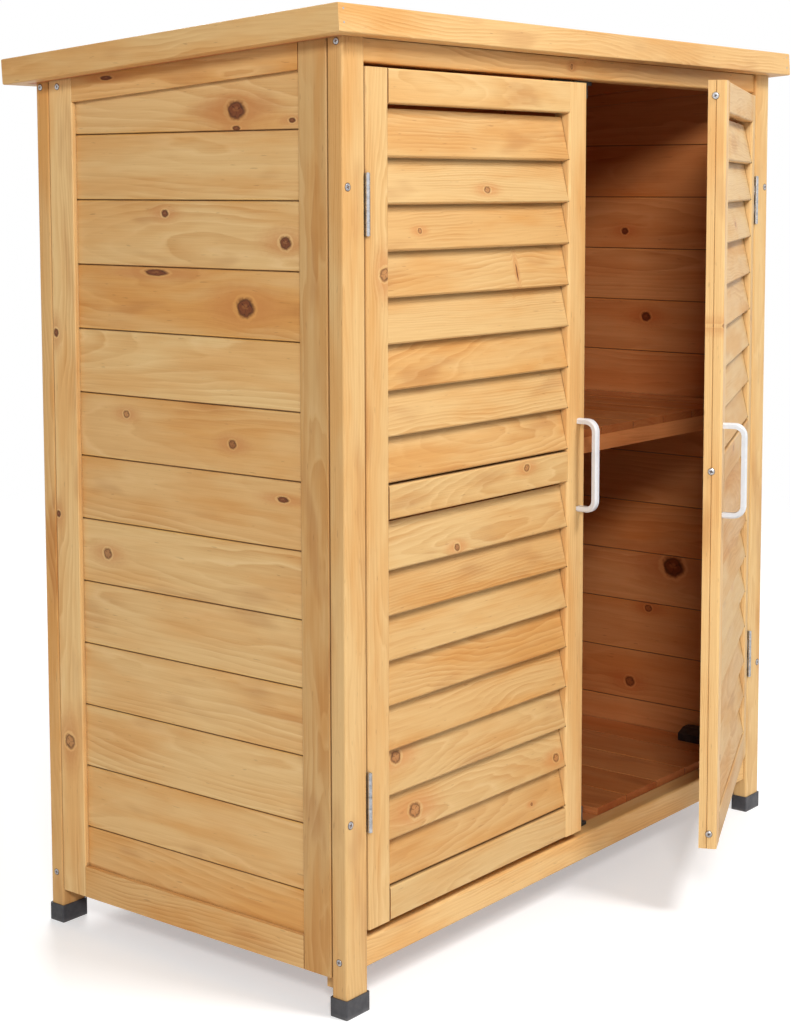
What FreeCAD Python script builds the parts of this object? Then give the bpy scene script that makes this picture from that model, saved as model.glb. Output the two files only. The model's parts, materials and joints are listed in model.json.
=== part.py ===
import FreeCAD, Part
import math
import os
import re

import Sketcher

# Garden storage cabinet of oiled fir: a framed box on four capped feet, a lid roof that
# falls to the back, one shelf, and two louvred doors on butt hinges.
# Millimetres. X runs along the front, Y from front to back, Z up from the floor. The
# origin is on the floor at the centre of the footprint of the four posts.

DIMENSIONS = [
    ("cabinet_width", 823, "outside of the left post to outside of the right post"),
    ("cabinet_depth", 427, "front face of the front posts to back face of the back posts"),
    ("post_width", 32, "post, along the front"),
    ("post_depth", 19, "post, front to back"),
    ("post_round", 2.5, "rounding of the posts' long edges"),
    ("cap_wall", 1.2, "foot cap, wall"),
    ("cap_fit", 0.2, "foot cap, air round the post"),
    ("cap_base", 2, "foot cap, floor under the post"),
    ("cap_height", 19, "foot cap, height"),
    ("cap_round", 1.5, "foot cap, rounding of its corners"),
    ("roof_front_height", 970, "floor to the top edge of the front fascia"),
    ("roof_slope", 4, "fall of the roof to the back, degrees"),
    ("front_overhang", 17, "roof edge in front of the posts"),
    ("back_overhang", 25, "roof edge behind the posts"),
    ("side_overhang", 23.5, "roof edge beyond the posts' sides"),
    ("fascia_height", 27, "fascia board, height"),
    ("fascia_thickness", 17, "fascia board, thickness"),
    ("fascia_round", 1.5, "rounding of the fascias' outer edges"),
    ("rafter_width", 31, "rafter, width"),
    ("felt_thickness", 2, "roofing felt"),
    ("rail_setback", 4, "front rails behind the post faces"),
    ("rail_thickness", 23, "front rails, front to back"),
    ("rail_round", 3, "rounding of the front rails' front edges"),
    ("rail_bottom", 40.5, "floor to the underside of the bottom rails"),
    ("rail_height", 30, "bottom rails, height"),
    ("header_height", 22.3, "header under the roof, height of its front face"),
    ("back_rail_height", 40, "top rail of the back, height"),
    ("side_gap", 1, "joint between a post and a side panel"),
    ("side_bottom", 37.5, "floor to the underside of a side panel"),
    ("side_stile_width", 35.5, "side panel stile, width"),
    ("side_rail_height", 33.5, "side panel bottom rail, height"),
    ("side_top_rail_height", 25, "side panel top rail, height"),
    ("side_bevel", 1, "bevel of the side stiles' outer edges"),
    ("board_recess", 5.5, "side boards behind the face of their frame"),
    ("board_lap", 10, "rebate of the side frame behind which the boards sit"),
    ("board_thickness", 9, "tongued boards, thickness"),
    ("board_cover", 67.5, "tongued board, width that it covers"),
    ("board_base", 47.3, "floor to the lowest course of the wall boards"),
    ("board_joint", 0.4, "open joint between two boards"),
    ("board_chamfer", 1.2, "chamfer on the boards' face edges"),
    ("board_fit", 0.3, "air at the ends and edges of a set of boards"),
    ("tongue_length", 4, "tongue, length"),
    ("tongue_thickness", 2.8, "tongue, thickness"),
    ("groove_fit", 0.2, "air round a tongue in its groove"),
    ("batten_width", 30, "floor batten, front to back"),
    ("batten_height", 20, "floor batten, height"),
    ("floor_notch", 20, "middle floor boards cut back behind the lower catches"),
    ("corner_block_depth", 18.5, "corner block behind a front post, front to back"),
    ("corner_block_lift", 1, "corner blocks above the foot caps"),
    ("shelf_top", 530, "floor to the top of the shelf"),
    ("shelf_setback", 23, "shelf behind the post faces"),
    ("bearer_width", 18, "shelf bearer, width"),
    ("bearer_height", 18, "shelf bearer, height"),
    ("door_foot_gap", 8.8, "gap between the bottom rail and a door"),
    ("door_head_gap", 3.8, "gap between a door and the header"),
    ("door_thickness", 19.6, "door, thickness"),
    ("centre_gap", 4, "gap between the closed doors"),
    ("hinge_gap", 2, "gap between a door and its post"),
    ("left_door_angle", 0, "left door at rest, degrees"),
    ("right_door_angle", 23.9, "right door at rest, degrees"),
    ("door_stile_width", 33.5, "door stile, width"),
    ("door_rail_height", 33.3, "door rails, height"),
    ("door_round", 3, "rounding of the door frames' front edges"),
    ("stile_groove_place", 11, "groove in the free edge, behind the door's face"),
    ("stile_groove_width", 1.4, "groove in the free edge, width"),
    ("stile_groove_depth", 1, "groove in the free edge, depth"),
    ("slat_count", 8, "slats above and below the middle rail"),
    ("slat_width", 47, "slat, width"),
    ("slat_thickness", 6.5, "slat, thickness"),
    ("slat_tilt", 12.5, "slat, lean from upright, degrees"),
    ("slat_recess", 1, "slats' lower edges behind the door's face"),
    ("slat_bevel", 1.2, "bevel of the slats' lower front edges"),
    ("slat_head_gap", 4.2, "gap between the first slat and the rail above it"),
    ("slat_foot_gap", 3, "lower edge of the last slat to the rail below"),
    ("slot_depth", 3, "mortise for a slat, depth"),
    ("slot_fit", 0.2, "air round a slat in its mortise"),
    ("knuckle_air", 0.1, "air between the hinge knuckles and the doors' faces"),
    ("pin_radius", 1.2, "hinge pin, radius"),
    ("pin_fit", 0.06, "air round the hinge pin"),
    ("pin_end", 0.5, "hinge pin beyond the last knuckle"),
    ("knuckle_radius", 2.4, "hinge knuckle, outside radius"),
    ("knuckle_gap", 0.25, "air between two knuckles"),
    ("leaf_height", 59, "hinge leaf, height"),
    ("leaf_width", 18, "hinge leaf, width from the pin"),
    ("leaf_thickness", 0.85, "hinge leaf, thickness"),
    ("hinge_inset", 99.5, "hinge leaves from the ends of the doors"),
    ("handle_length", 104, "door handle, height"),
    ("handle_projection", 26, "door handle, out from the door"),
    ("handle_width", 8, "door handle bar, width"),
    ("handle_thickness", 6, "door handle bar, thickness"),
    ("handle_outer_round", 14, "door handle, outer corner radius"),
    ("handle_bevel", 1.8, "door handle, bevel along the bar's edges"),
    ("handle_inset", 12.5, "handle's centre line from the door's free edge"),
    ("catch_length", 34, "magnetic catch, along the front"),
    ("catch_depth", 13, "magnetic catch, front to back"),
    ("catch_inset", 21, "catch's centre from the middle of the cabinet"),
    ("catch_ear", 8, "low ear at each end of a catch, length"),
    ("catch_ear_height", 4.3, "low ear at each end of a catch, height"),
    ("catch_flange", 12, "upper catch, height of its flange behind the header"),
    ("catch_fit", 0.2, "air between a catch and its strike plate"),
    ("catch_reach", 7, "catch beyond the centre of its strike plate"),
    ("strike_inset", 8, "strike plate's centre from the door's end"),
    ("strike_height", 14, "strike plate, height"),
    ("strike_length", 20, "strike plate, along the door"),
    ("strike_thickness", 1, "strike plate, thickness"),
    ("bracket_length", 42, "floor bracket, front to back"),
    ("bracket_width", 27, "floor bracket, out from the wall"),
    ("bracket_low", 10, "floor bracket, height at its outer face"),
    ("bracket_high", 15.5, "floor bracket, height at the wall"),
    ("bracket_setback", 54, "floor bracket behind the post faces"),
]

doc = FreeCAD.newDocument("garden_cabinet")
sheet = doc.addObject("Spreadsheet::Sheet", "Sizes")
for row, (alias, value, meaning) in enumerate(DIMENSIONS, start=1):
    sheet.set(f"A{row}", alias)
    sheet.set(f"B{row}", str(value))
    sheet.set(f"C{row}", meaning)
    sheet.setAlias(f"B{row}", alias)
doc.recompute()

ALIASES = re.compile(r"\b(" + "|".join(alias for alias, _, _ in DIMENSIONS) + r")\b")
CIRCLE = 360.0
PIECES = []


# Expressions, frames and the few shapes that all pieces are made from

def bound(text):
    """The expression with every size written as a cell of the sheet."""
    return ALIASES.sub(r"Sizes.\1", str(text))


def underside(y):
    """Height of the roof's underside over a line at y."""
    fall = f"(({y}) + cabinet_depth/2 + front_overhang)*tan(roof_slope)"
    return f"(roof_front_height - fascia_height*cos(roof_slope) - {fall})"


def in_cabinet(x, y, z):
    """Place in the standing cabinet."""
    return (x, y, z), (0, 0, 1), None


def in_roof(x, y, z):
    """Place in the roof's own frame, whose origin is its front bottom edge."""
    base_y = f"-cabinet_depth/2 - front_overhang + ({y})*cos(roof_slope) + ({z})*sin(roof_slope)"
    rise = "roof_front_height - fascia_height*cos(roof_slope)"
    base_z = f"{rise} - ({y})*sin(roof_slope) + ({z})*cos(roof_slope)"
    return (x, base_y, base_z), (1, 0, 0), "-roof_slope"


pin_ahead = "(knuckle_radius + knuckle_air)"
pin_x = "(cabinet_width/2 - post_width - hinge_gap/2)"
pin_y = f"-cabinet_depth/2 - {pin_ahead}"


def in_door(side, x, y, z):
    """Place in a door's own frame, whose origin is its hinge pin."""
    if side == "left":
        sign, angle = "-", "-left_door_angle"
    else:
        sign, angle = "", "right_door_angle"
    base_x = f"{sign}{pin_x} + ({x})*cos({angle}) - ({y})*sin({angle})"
    base_y = f"{pin_y} + ({x})*sin({angle}) + ({y})*cos({angle})"
    return (base_x, base_y, z), (0, 0, 1), angle


def from_hinge(side, start, width):
    """Lower x of a piece that starts at a distance from the hinge pin."""
    return start if side == "left" else f"-(({start}) + ({width}))"


def mirrored(side, corners, width):
    """An outline for the left side, turned over for the right side."""
    if side == "left":
        return corners
    return [(f"({width}) - ({x})", y) for x, y in corners]


def new_body(name, place):
    """An empty body with its label and its place, both tied to the sheet."""
    body = doc.addObject("PartDesign::Body", name)
    body.Label = name
    body.AllowCompound = True
    base, axis, angle = place
    body.Placement = FreeCAD.Placement(FreeCAD.Vector(), FreeCAD.Rotation(FreeCAD.Vector(*axis), 1))
    for letter, value in zip("xyz", base):
        body.setExpression(f"Placement.Base.{letter}", bound(value))
    body.setExpression("Placement.Rotation.Angle", bound(angle or 0))
    PIECES.append(body)
    return body


def new_sketch(body, plane, offset):
    """A sketch on one of the body's own planes, moved along its normal."""
    sketch = body.newObject("Sketcher::SketchObject", "Outline")
    support = next(item for item in body.Origin.OriginFeatures if item.Role == plane)
    sketch.AttachmentSupport = (support, [""])
    sketch.MapMode = "FlatFace"
    if offset:
        sketch.setExpression("AttachmentOffset.Base.z", bound(offset))
    return sketch


def pin_point(sketch, geometry, point, x, y):
    """Fixes one point of a sketch at two sizes of the sheet."""
    for kind, value in (("DistanceX", x), ("DistanceY", y)):
        index = sketch.addConstraint(Sketcher.Constraint(kind, -1, 1, geometry, point, 1.0))
        sketch.setExpression(f"Constraints[{index}]", bound(value))


def draw_polygon(sketch, corners):
    """A closed outline through the corners."""
    count = len(corners)
    turns = [math.radians(CIRCLE * index / count) for index in range(count)]
    start = [FreeCAD.Vector(math.cos(turn), math.sin(turn), 0) for turn in turns]
    for index in range(count):
        sketch.addGeometry(Part.LineSegment(start[index], start[(index + 1) % count]), False)
    for index in range(count):
        after = (index + 1) % count
        sketch.addConstraint(Sketcher.Constraint("Coincident", index, 2, after, 1))
    for index, (x, y) in enumerate(corners):
        pin_point(sketch, index, 1, x, y)


def draw_circle(sketch, x, y, radius):
    """A full circle at a fixed centre."""
    circle = Part.Circle(FreeCAD.Vector(), FreeCAD.Vector(0, 0, 1), 1)
    geometry = sketch.addGeometry(circle, False)
    index = sketch.addConstraint(Sketcher.Constraint("Radius", geometry, 1.0))
    sketch.setExpression(f"Constraints[{index}]", bound(radius))
    pin_point(sketch, geometry, 3, x, y)


# The grain runs along one axis: the plane across it, and whether its normal points back
PLANES = {"x": ("YZ_Plane", False), "y": ("XZ_Plane", True), "z": ("XY_Plane", False)}


def pad(body, along, draw, length, offset=None):
    """Adds a prism that runs along an axis from its plane."""
    plane, backward = PLANES[along]
    shift = f"-({offset})" if offset and backward else offset
    sketch = new_sketch(body, plane, shift)
    draw(sketch)
    feature = body.newObject("PartDesign::Pad", "Pad")
    feature.Profile = sketch
    feature.setExpression("Length", bound(length))
    feature.Reversed = backward
    feature.Refine = True
    body.Tip = feature
    return feature


def pocket(body, along, draw, length, offset=None):
    """Takes a prism away that runs along an axis from its plane."""
    doc.recompute()
    before = body.Shape.Volume
    plane, backward = PLANES[along]
    shift = f"-({offset})" if offset and backward else offset
    sketch = new_sketch(body, plane, shift)
    draw(sketch)
    feature = body.newObject("PartDesign::Pocket", "Pocket")
    feature.Profile = sketch
    feature.setExpression("Length", bound(length))
    feature.Reversed = not backward
    feature.Refine = True
    body.Tip = feature
    doc.recompute()
    if body.Shape.Volume >= before:
        raise RuntimeError(f"{body.Label}: a pocket took nothing away")
    return feature


def polygon(corners):
    """A drawing of a closed outline, for pad and pocket."""
    return lambda sketch: draw_polygon(sketch, corners)


def circle(x, y, radius):
    """A drawing of a circle, for pad and pocket."""
    return lambda sketch: draw_circle(sketch, x, y, radius)


def rectangle(width, height, x="0", y="0"):
    """A drawing of a rectangle from its lower corner, for pad and pocket."""
    right = f"({x}) + ({width})"
    top = f"({y}) + ({height})"
    return polygon([(x, y), (right, y), (right, top), (x, top)])


AXES = {"x": FreeCAD.Vector(1, 0, 0), "y": FreeCAD.Vector(0, 1, 0), "z": FreeCAD.Vector(0, 0, 1)}
TOUCH = 0.01


def same(value, other):
    return abs(value - other) < TOUCH


def soften(body, along, size, keep, kind="Fillet"):
    """Rounds or bevels the straight edges that run along an axis and that keep() picks.

    keep() is given an edge's middle and the bounding box of the piece.
    """
    doc.recompute()
    tip = body.Tip
    box = tip.Shape.BoundBox
    names = []
    for index, edge in enumerate(tip.Shape.Edges, start=1):
        if not isinstance(edge.Curve, Part.Line):
            continue
        if abs(edge.Curve.Direction.dot(AXES[along])) < 1 - TOUCH:
            continue
        if keep(edge.CenterOfMass, box):
            names.append(f"Edge{index}")
    if not names:
        raise RuntimeError(f"{body.Label}: no edge to round")
    feature = body.newObject(f"PartDesign::{kind}", kind)
    feature.Base = (tip, names)
    feature.setExpression("Radius" if kind == "Fillet" else "Size", bound(size))
    body.Tip = feature
    return feature


def repeat(body, along, spacing, count):
    """Repeats the whole piece along an axis."""
    doc.recompute()
    feature = body.newObject("PartDesign::LinearPattern", "Repeat")
    feature.TransformMode = "Whole shape"
    role = f"{along.upper()}_Axis"
    axis = next(item for item in body.Origin.OriginFeatures if item.Role == role)
    feature.Direction = (axis, [""])
    feature.Mode = "Spacing"
    feature.setExpression("Offset", bound(spacing))
    feature.setExpression("Occurrences", bound(count))
    body.Tip = feature
    return feature


def bar(name, along, size, place):
    """A straight bar of timber, sawn square."""
    body = new_body(name, place)
    x, y, z = size
    across = {"x": (y, z), "y": (x, z), "z": (x, y)}[along]
    length = {"x": x, "y": y, "z": z}[along]
    pad(body, along, rectangle(*across), length)
    return body


# Posts and their caps

def post(name, side, row):
    """A square-sawn post: its top follows the roof, its long edges are rounded."""
    x = "-cabinet_width/2" if side == "left" else "cabinet_width/2 - post_width"
    y = "-cabinet_depth/2" if row == "front" else "cabinet_depth/2 - post_depth"
    body = new_body(name, in_cabinet(x, y, "cap_base"))
    front_rise = f"{underside(y)} - cap_base"
    back_rise = f"{underside(f'({y}) + post_depth')} - cap_base"
    side_view = [("0", "0"), ("post_depth", "0"), ("post_depth", back_rise), ("0", front_rise)]
    pad(body, "x", polygon(side_view), "post_width")
    soften(body, "z", "post_round", lambda middle, box: True)


def foot_cap(name, side, row):
    """A plastic cup pushed on the post's foot."""
    rim = "(cap_wall + cap_fit)"
    wide = f"post_width + 2*{rim}"
    deep = f"post_depth + 2*{rim}"
    x = f"-cabinet_width/2 - {rim}" if side == "left" else f"cabinet_width/2 - post_width - {rim}"
    y = f"-cabinet_depth/2 - {rim}" if row == "front" else f"cabinet_depth/2 - post_depth - {rim}"
    body = bar(name, "z", (wide, deep, "cap_height"), in_cabinet(x, y, "0"))
    soften(body, "z", "cap_round", lambda middle, box: True)
    hollow = rectangle("post_width + 2*cap_fit", "post_depth + 2*cap_fit", "cap_wall", "cap_wall")
    pocket(body, "z", hollow, "cap_height - cap_base", "cap_base")


for side in ("left", "right"):
    for row in ("front", "back"):
        post(f"{row}_{side}_post", side, row)
        foot_cap(f"{row}_{side}_foot_cap", side, row)


# Rails between the posts

between_posts = "(cabinet_width - 2*post_width)"
posts_inside = "-cabinet_width/2 + post_width"
front_face = "(-cabinet_depth/2 + rail_setback)"
rail_back = f"({front_face} + rail_thickness)"
rail_top = "(rail_bottom + rail_height)"
header_bottom = f"({underside(front_face)} - header_height)"

header = new_body("front_header", in_cabinet(posts_inside, front_face, header_bottom))
header_back = "header_height - rail_thickness*tan(roof_slope)"
header_section = [("0", "0"), ("rail_thickness", "0"),
                  ("rail_thickness", header_back), ("0", "header_height")]
pad(header, "x", polygon(header_section), between_posts)
soften(header, "x", "rail_round", lambda middle, box: same(middle.y, box.YMin) and same(middle.z, box.ZMin))

bottom_rail = bar("front_bottom_rail", "x", (between_posts, "rail_thickness", "rail_height"),
                  in_cabinet(posts_inside, front_face, "rail_bottom"))
soften(bottom_rail, "x", "rail_round", lambda middle, box: same(middle.y, box.YMin))

back_face = "(cabinet_depth/2 - post_depth)"
back_rails = bar("back_rails", "x", (between_posts, "post_depth", "rail_height"),
                 in_cabinet(posts_inside, back_face, "rail_bottom"))
roof_at_back = f"{underside('cabinet_depth/2')} - rail_bottom"
inner_rise = f"{roof_at_back} + post_depth*tan(roof_slope)"
top_rail_foot = f"{roof_at_back} - back_rail_height"
top_section = [("0", top_rail_foot), ("post_depth", top_rail_foot), ("post_depth", roof_at_back),
               ("0", inner_rise)]
pad(back_rails, "x", polygon(top_section), between_posts)


# Tongued boards

def board_section(face_first):
    """A tongued and grooved board: across its cover width, and through its thickness.

    The chamfered face is at depth 0, or at the board's back if face_first is False.
    """
    top = "(board_cover - board_joint)"
    middle = "board_thickness/2"
    groove = "(tongue_thickness/2 + groove_fit)"
    tongue = "tongue_thickness/2"
    groove_depth = "(tongue_length + groove_fit)"
    outline = [
        ("board_chamfer", "0"),
        (f"{middle} - {groove}", "0"),
        (f"{middle} - {groove}", groove_depth),
        (f"{middle} + {groove}", groove_depth),
        (f"{middle} + {groove}", "0"),
        ("board_thickness", "0"),
        ("board_thickness", top),
        (f"{middle} + {tongue}", top),
        (f"{middle} + {tongue}", f"{top} + tongue_length"),
        (f"{middle} - {tongue}", f"{top} + tongue_length"),
        (f"{middle} - {tongue}", top),
        ("board_chamfer", top),
        ("0", f"{top} - board_chamfer"),
        ("0", "board_chamfer"),
    ]
    if face_first:
        return outline
    return [(f"board_thickness - ({depth})", across) for depth, across in outline]


stile_thickness = "(board_recess + board_thickness)"
inside_wall = f"(cabinet_width/2 - {stile_thickness} - board_fit)"
wall_courses = "ceil((roof_front_height - board_base)/board_cover)"
wall_height = "(roof_front_height - board_base + board_cover)"


# Side panels: a rebated frame with boards laid in from the inside

panel_start = "(-cabinet_depth/2 + post_depth + side_gap)"
opening_start = f"({panel_start} + side_stile_width)"
opening_length = "(cabinet_depth - 2*post_depth - 2*side_gap - 2*side_stile_width)"
opening_end = f"({opening_start} + {opening_length})"
panel_rise = "(roof_front_height - side_bottom)"


def side_stile(side, row):
    """Upright of a side panel, rebated on its inner edge, cut to the roof at its top."""
    shelf = "(side_stile_width - board_lap)"
    if row == "front":
        y = panel_start
        section = [("0", "0"), (stile_thickness, "0"), (stile_thickness, shelf),
                   ("board_recess", shelf), ("board_recess", "side_stile_width"), ("0", "side_stile_width")]
    else:
        y = opening_end
        section = [("0", "0"), ("board_recess", "0"), ("board_recess", "board_lap"),
                   (stile_thickness, "board_lap"), (stile_thickness, "side_stile_width"),
                   ("0", "side_stile_width")]
    x = "-cabinet_width/2" if side == "left" else f"cabinet_width/2 - {stile_thickness}"
    body = new_body(f"{side}_{row}_stile", in_cabinet(x, y, "side_bottom"))
    pad(body, "z", polygon(mirrored(side, section, stile_thickness)), panel_rise)
    outer = (lambda middle, box: same(middle.x, box.XMin)) if side == "left" else (
        lambda middle, box: same(middle.x, box.XMax))
    soften(body, "z", "side_bevel", outer, "Chamfer")
    low = f"{underside(y)} - side_bottom"
    high = f"{underside(f'{y} + side_stile_width')} - side_bottom"
    waste = polygon([("0", low), ("side_stile_width", high),
                     ("side_stile_width", f"{panel_rise} + 1"), ("0", f"{panel_rise} + 1")])
    pocket(body, "x", waste, stile_thickness)


def side_rail(name, side, lip, tongue, place_z):
    """Rail of a side panel: a lip flush with the stiles, thicker behind the boards' rebate."""
    x = "-cabinet_width/2" if side == "left" else f"cabinet_width/2 - {stile_thickness}"
    body = new_body(name, in_cabinet(x, opening_start, place_z))
    lip_at, tongue_at = ("0", "board_recess") if side == "left" else ("board_thickness", "0")
    pad(body, "x", polygon(lip), "board_recess", lip_at)
    pad(body, "x", polygon(tongue), "board_thickness", tongue_at)


def sloped_band(start, end, below_top, above):
    """A band that follows the roof: from below_top under it to above."""
    lines = []
    for y in (start, end):
        roof = underside(f"{opening_start} + ({y})")
        lines.append((y, f"{roof} - ({below_top})", f"{roof} + ({above})"))
    (near_y, near_low, near_high), (far_y, far_low, far_high) = lines
    return [(near_y, near_low), (far_y, far_low), (far_y, far_high), (near_y, near_high)]


def side_panel(side):
    side_stile(side, "front")
    side_stile(side, "back")
    beyond = f"{opening_length} + board_lap"
    lip = sloped_band("0", opening_length, "side_top_rail_height", "0")
    tongue = sloped_band("-board_lap", beyond, "side_top_rail_height - board_lap", "0")
    side_rail(f"{side}_top_rail", side, lip, tongue, "0")

    low = "(side_rail_height - board_lap)"
    lip = [("0", "0"), (opening_length, "0"), (opening_length, "side_rail_height"), ("0", "side_rail_height")]
    tongue = [("-board_lap", "0"), (beyond, "0"), (beyond, low), ("-board_lap", low)]
    side_rail(f"{side}_bottom_rail", side, lip, tongue, "side_bottom")

    x = "-cabinet_width/2 + board_recess" if side == "left" else f"cabinet_width/2 - {stile_thickness}"
    start = f"{opening_start} - board_lap + board_fit"
    boards = new_body(f"{side}_side_boards", in_cabinet(x, start, "board_base"))
    length = f"({opening_length} + 2*board_lap - 2*board_fit)"
    pad(boards, "y", polygon(board_section(side == "left")), length)
    repeat(boards, "z", "board_cover", wall_courses)
    foot = "side_bottom + side_rail_height - board_lap + board_fit - board_base"
    pocket(boards, "x", rectangle(length, foot), "board_thickness")
    waste = []
    for y in ("0", length):
        roof = underside(f"{start} + {y}")
        waste.append((y, f"{roof} - side_top_rail_height + board_lap - board_fit - board_base"))
    waste += [(length, wall_height), ("0", wall_height)]
    pocket(boards, "x", polygon(waste), "board_thickness")


for side in ("left", "right"):
    side_panel(side)


# Back wall: boards nailed to the fronts of the back posts and rails

back_boards_y = f"({back_face} - board_thickness)"
back = new_body("back_boards", in_cabinet(f"-{inside_wall}", back_boards_y, "board_base"))
pad(back, "x", polygon(board_section(False)), f"2*{inside_wall}")
repeat(back, "z", "board_cover", wall_courses)
back_waste = [("0", f"{underside(back_boards_y)} - board_base"),
              ("board_thickness", f"{underside(back_face)} - board_base"),
              ("board_thickness", wall_height), ("0", wall_height)]
pocket(back, "x", polygon(back_waste), f"2*{inside_wall}")


# Floor and shelf: boards that run from front to back, on battens and bearers

def deck(name, top, start, end, notch=None):
    """Boards laid side by side from the middle of the cabinet, sawn off at the walls.

    The two middle boards are cut back by the notch, if there is one.
    """
    half = f"ceil({inside_wall}/board_cover)"
    length = f"(({end}) - ({start}))"
    body = new_body(name, in_cabinet(f"-{half}*board_cover", start, f"{top} - board_thickness"))
    section = [(across, depth) for depth, across in board_section(False)]
    pad(body, "y", polygon(section), length)
    repeat(body, "x", "board_cover", f"2*{half}")
    surplus = f"({half}*board_cover - {inside_wall})"
    pocket(body, "y", rectangle(surplus, "board_thickness"), length)
    far_wall = f"{half}*board_cover + {inside_wall}"
    pocket(body, "y", rectangle(f"{surplus} + tongue_length", "board_thickness", far_wall), length)
    if notch:
        width = "2*board_cover + tongue_length + groove_fit"
        cut_start = f"({half} - 1)*board_cover - board_joint"
        pocket(body, "z", rectangle(width, notch, cut_start), "board_thickness")


floor_top = f"({rail_top} + board_thickness)"
shelf_start = "(-cabinet_depth/2 + shelf_setback)"
deck_end = f"({back_boards_y} - board_fit)"
deck("floor_boards", floor_top, f"{rail_back} + board_fit", deck_end, "floor_notch")
deck("shelf_boards", "shelf_top", shelf_start, deck_end)

battens = bar("floor_battens", "x", (between_posts, "batten_width", "batten_height"),
              in_cabinet(posts_inside, rail_back, f"{rail_top} - batten_height"))
repeat(battens, "y", f"{back_boards_y} - batten_width - {rail_back}", "2")

shelf_bearers = bar("shelf_bearers", "x", (f"2*{inside_wall}", "bearer_width", "bearer_height"),
                    in_cabinet(f"-{inside_wall}", shelf_start, "shelf_top - board_thickness - bearer_height"))
back_bearer = f"({back_boards_y} - bearer_width - {shelf_start})"
bearer_ends = [("0", "0"), ("bearer_width", "0"), ("bearer_width", "bearer_height"), ("0", "bearer_height")]
pad(shelf_bearers, "x", polygon([(f"{back_bearer} + ({y})", z) for y, z in bearer_ends]), f"2*{inside_wall}")
for x in ("0", f"2*{inside_wall} - bearer_width"):
    cleat = rectangle("bearer_width", "bearer_height", x)
    pad(shelf_bearers, "y", cleat, f"{back_bearer} - bearer_width", "bearer_width")


# Corner blocks behind the front posts: they hold the side panels and carry the floor

block_width = f"(post_width - {stile_thickness})"
block_bottom = "(cap_height + corner_block_lift)"
block_x = f"-cabinet_width/2 + {stile_thickness}"
block_place = in_cabinet(block_x, "-cabinet_depth/2 + post_depth", block_bottom)
corner_blocks = bar("front_corner_blocks", "z",
                    (block_width, "corner_block_depth", f"{rail_top} - {block_bottom}"), block_place)
repeat(corner_blocks, "x", f"cabinet_width - 2*{stile_thickness} - {block_width}", "2")


# Roof: a shallow lid of fascia boards round rafters, boards and felt

roof_width = "(cabinet_width + 2*side_overhang)"
roof_length = "((cabinet_depth + front_overhang + back_overhang)/cos(roof_slope))"
between_fascias = f"({roof_length} - 2*fascia_thickness)"


def fascia(name, *outlines):
    """Fascia boards with mitred ends: each outline lies in the roof's own plane."""
    body = new_body(name, in_roof(f"-{roof_width}/2", "0", "0"))
    for outline in outlines:
        pad(body, "z", polygon(outline), "fascia_height")
    return body


mitre = "fascia_thickness"
far_mitre = f"({roof_width} - fascia_thickness)"
rear_mitre = f"({roof_length} - fascia_thickness)"
front_fascia = fascia("roof_front_fascia", [("0", "0"), (roof_width, "0"),
                                            (far_mitre, mitre), (mitre, mitre)])
soften(front_fascia, "x", "fascia_round", lambda middle, box: same(middle.y, box.YMin))
back_fascia = fascia("roof_back_fascia", [("0", roof_length), (mitre, rear_mitre), (far_mitre, rear_mitre),
                                          (roof_width, roof_length)])
soften(back_fascia, "x", "fascia_round", lambda middle, box: same(middle.y, box.YMax))
left_outline = [("0", "0"), (mitre, mitre), (mitre, rear_mitre), ("0", roof_length)]
right_outline = [(f"{roof_width} - {x}", y) for x, y in reversed(left_outline)]
side_fascias = fascia("roof_side_fascias", left_outline, right_outline)
soften(side_fascias, "y", "fascia_round",
       lambda middle, box: same(middle.x, box.XMin) or same(middle.x, box.XMax))

roof_inside = f"({roof_width}/2 - fascia_thickness)"
deck_z = "(fascia_height - felt_thickness - board_thickness)"
rafters = bar("roof_rafters", "y", ("rafter_width", between_fascias, deck_z),
              in_roof(f"-{roof_inside}", "fascia_thickness", "0"))
repeat(rafters, "x", f"{roof_inside} - rafter_width/2", "3")

roof_run = f"({between_fascias} - 2*board_fit)"
roof_courses = f"ceil({roof_run}/board_cover)"
roof_board_length = f"2*({roof_inside} - board_fit)"
roof_corner = (f"-{roof_inside} + board_fit", "fascia_thickness + board_fit")
roof_boards = new_body("roof_boards", in_roof(*roof_corner, deck_z))
pad(roof_boards, "x", polygon([(across, depth) for depth, across in board_section(True)]), roof_board_length)
repeat(roof_boards, "y", "board_cover", roof_courses)
pocket(roof_boards, "x", rectangle("board_cover", "board_thickness", roof_run), roof_board_length)

bar("roof_felt", "x", (roof_board_length, roof_run, "felt_thickness"),
    in_roof(*roof_corner, "fascia_height - felt_thickness"))


# Louvred doors: stiles with slanted mortises, three rails, and slats that lean in them

door_bottom = f"({rail_top} + door_foot_gap)"
door_top = f"({header_bottom} - door_head_gap)"
door_width = "(cabinet_width/2 - post_width - hinge_gap - centre_gap/2)"
door_height = f"({door_top} - {door_bottom})"
door_middle = f"(({door_bottom} + {door_top})/2)"
rail_length = f"({door_width} - 2*door_stile_width)"
louvre_fields = {
    "lower": (f"({door_bottom} + door_rail_height)", f"({door_middle} - door_rail_height/2)"),
    "upper": (f"({door_middle} + door_rail_height/2)", f"({door_top} - door_rail_height)"),
}


def slat_section(air):
    """A slat seen from its end: its lower front edge is the reference, leaning back.

    air is the clearance all round, 0 for the slat itself.
    """
    low, wide, thick = f"-({air})", f"slat_width + ({air})", f"slat_thickness + ({air})"
    corners = []
    for width, thickness in ((low, low), (low, thick), (wide, thick), (wide, low)):
        back = f"({width})*sin(slat_tilt) + ({thickness})*cos(slat_tilt) + slat_recess"
        up = f"({width})*cos(slat_tilt) - ({thickness})*sin(slat_tilt)"
        corners.append((back, up))
    return corners


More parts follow.
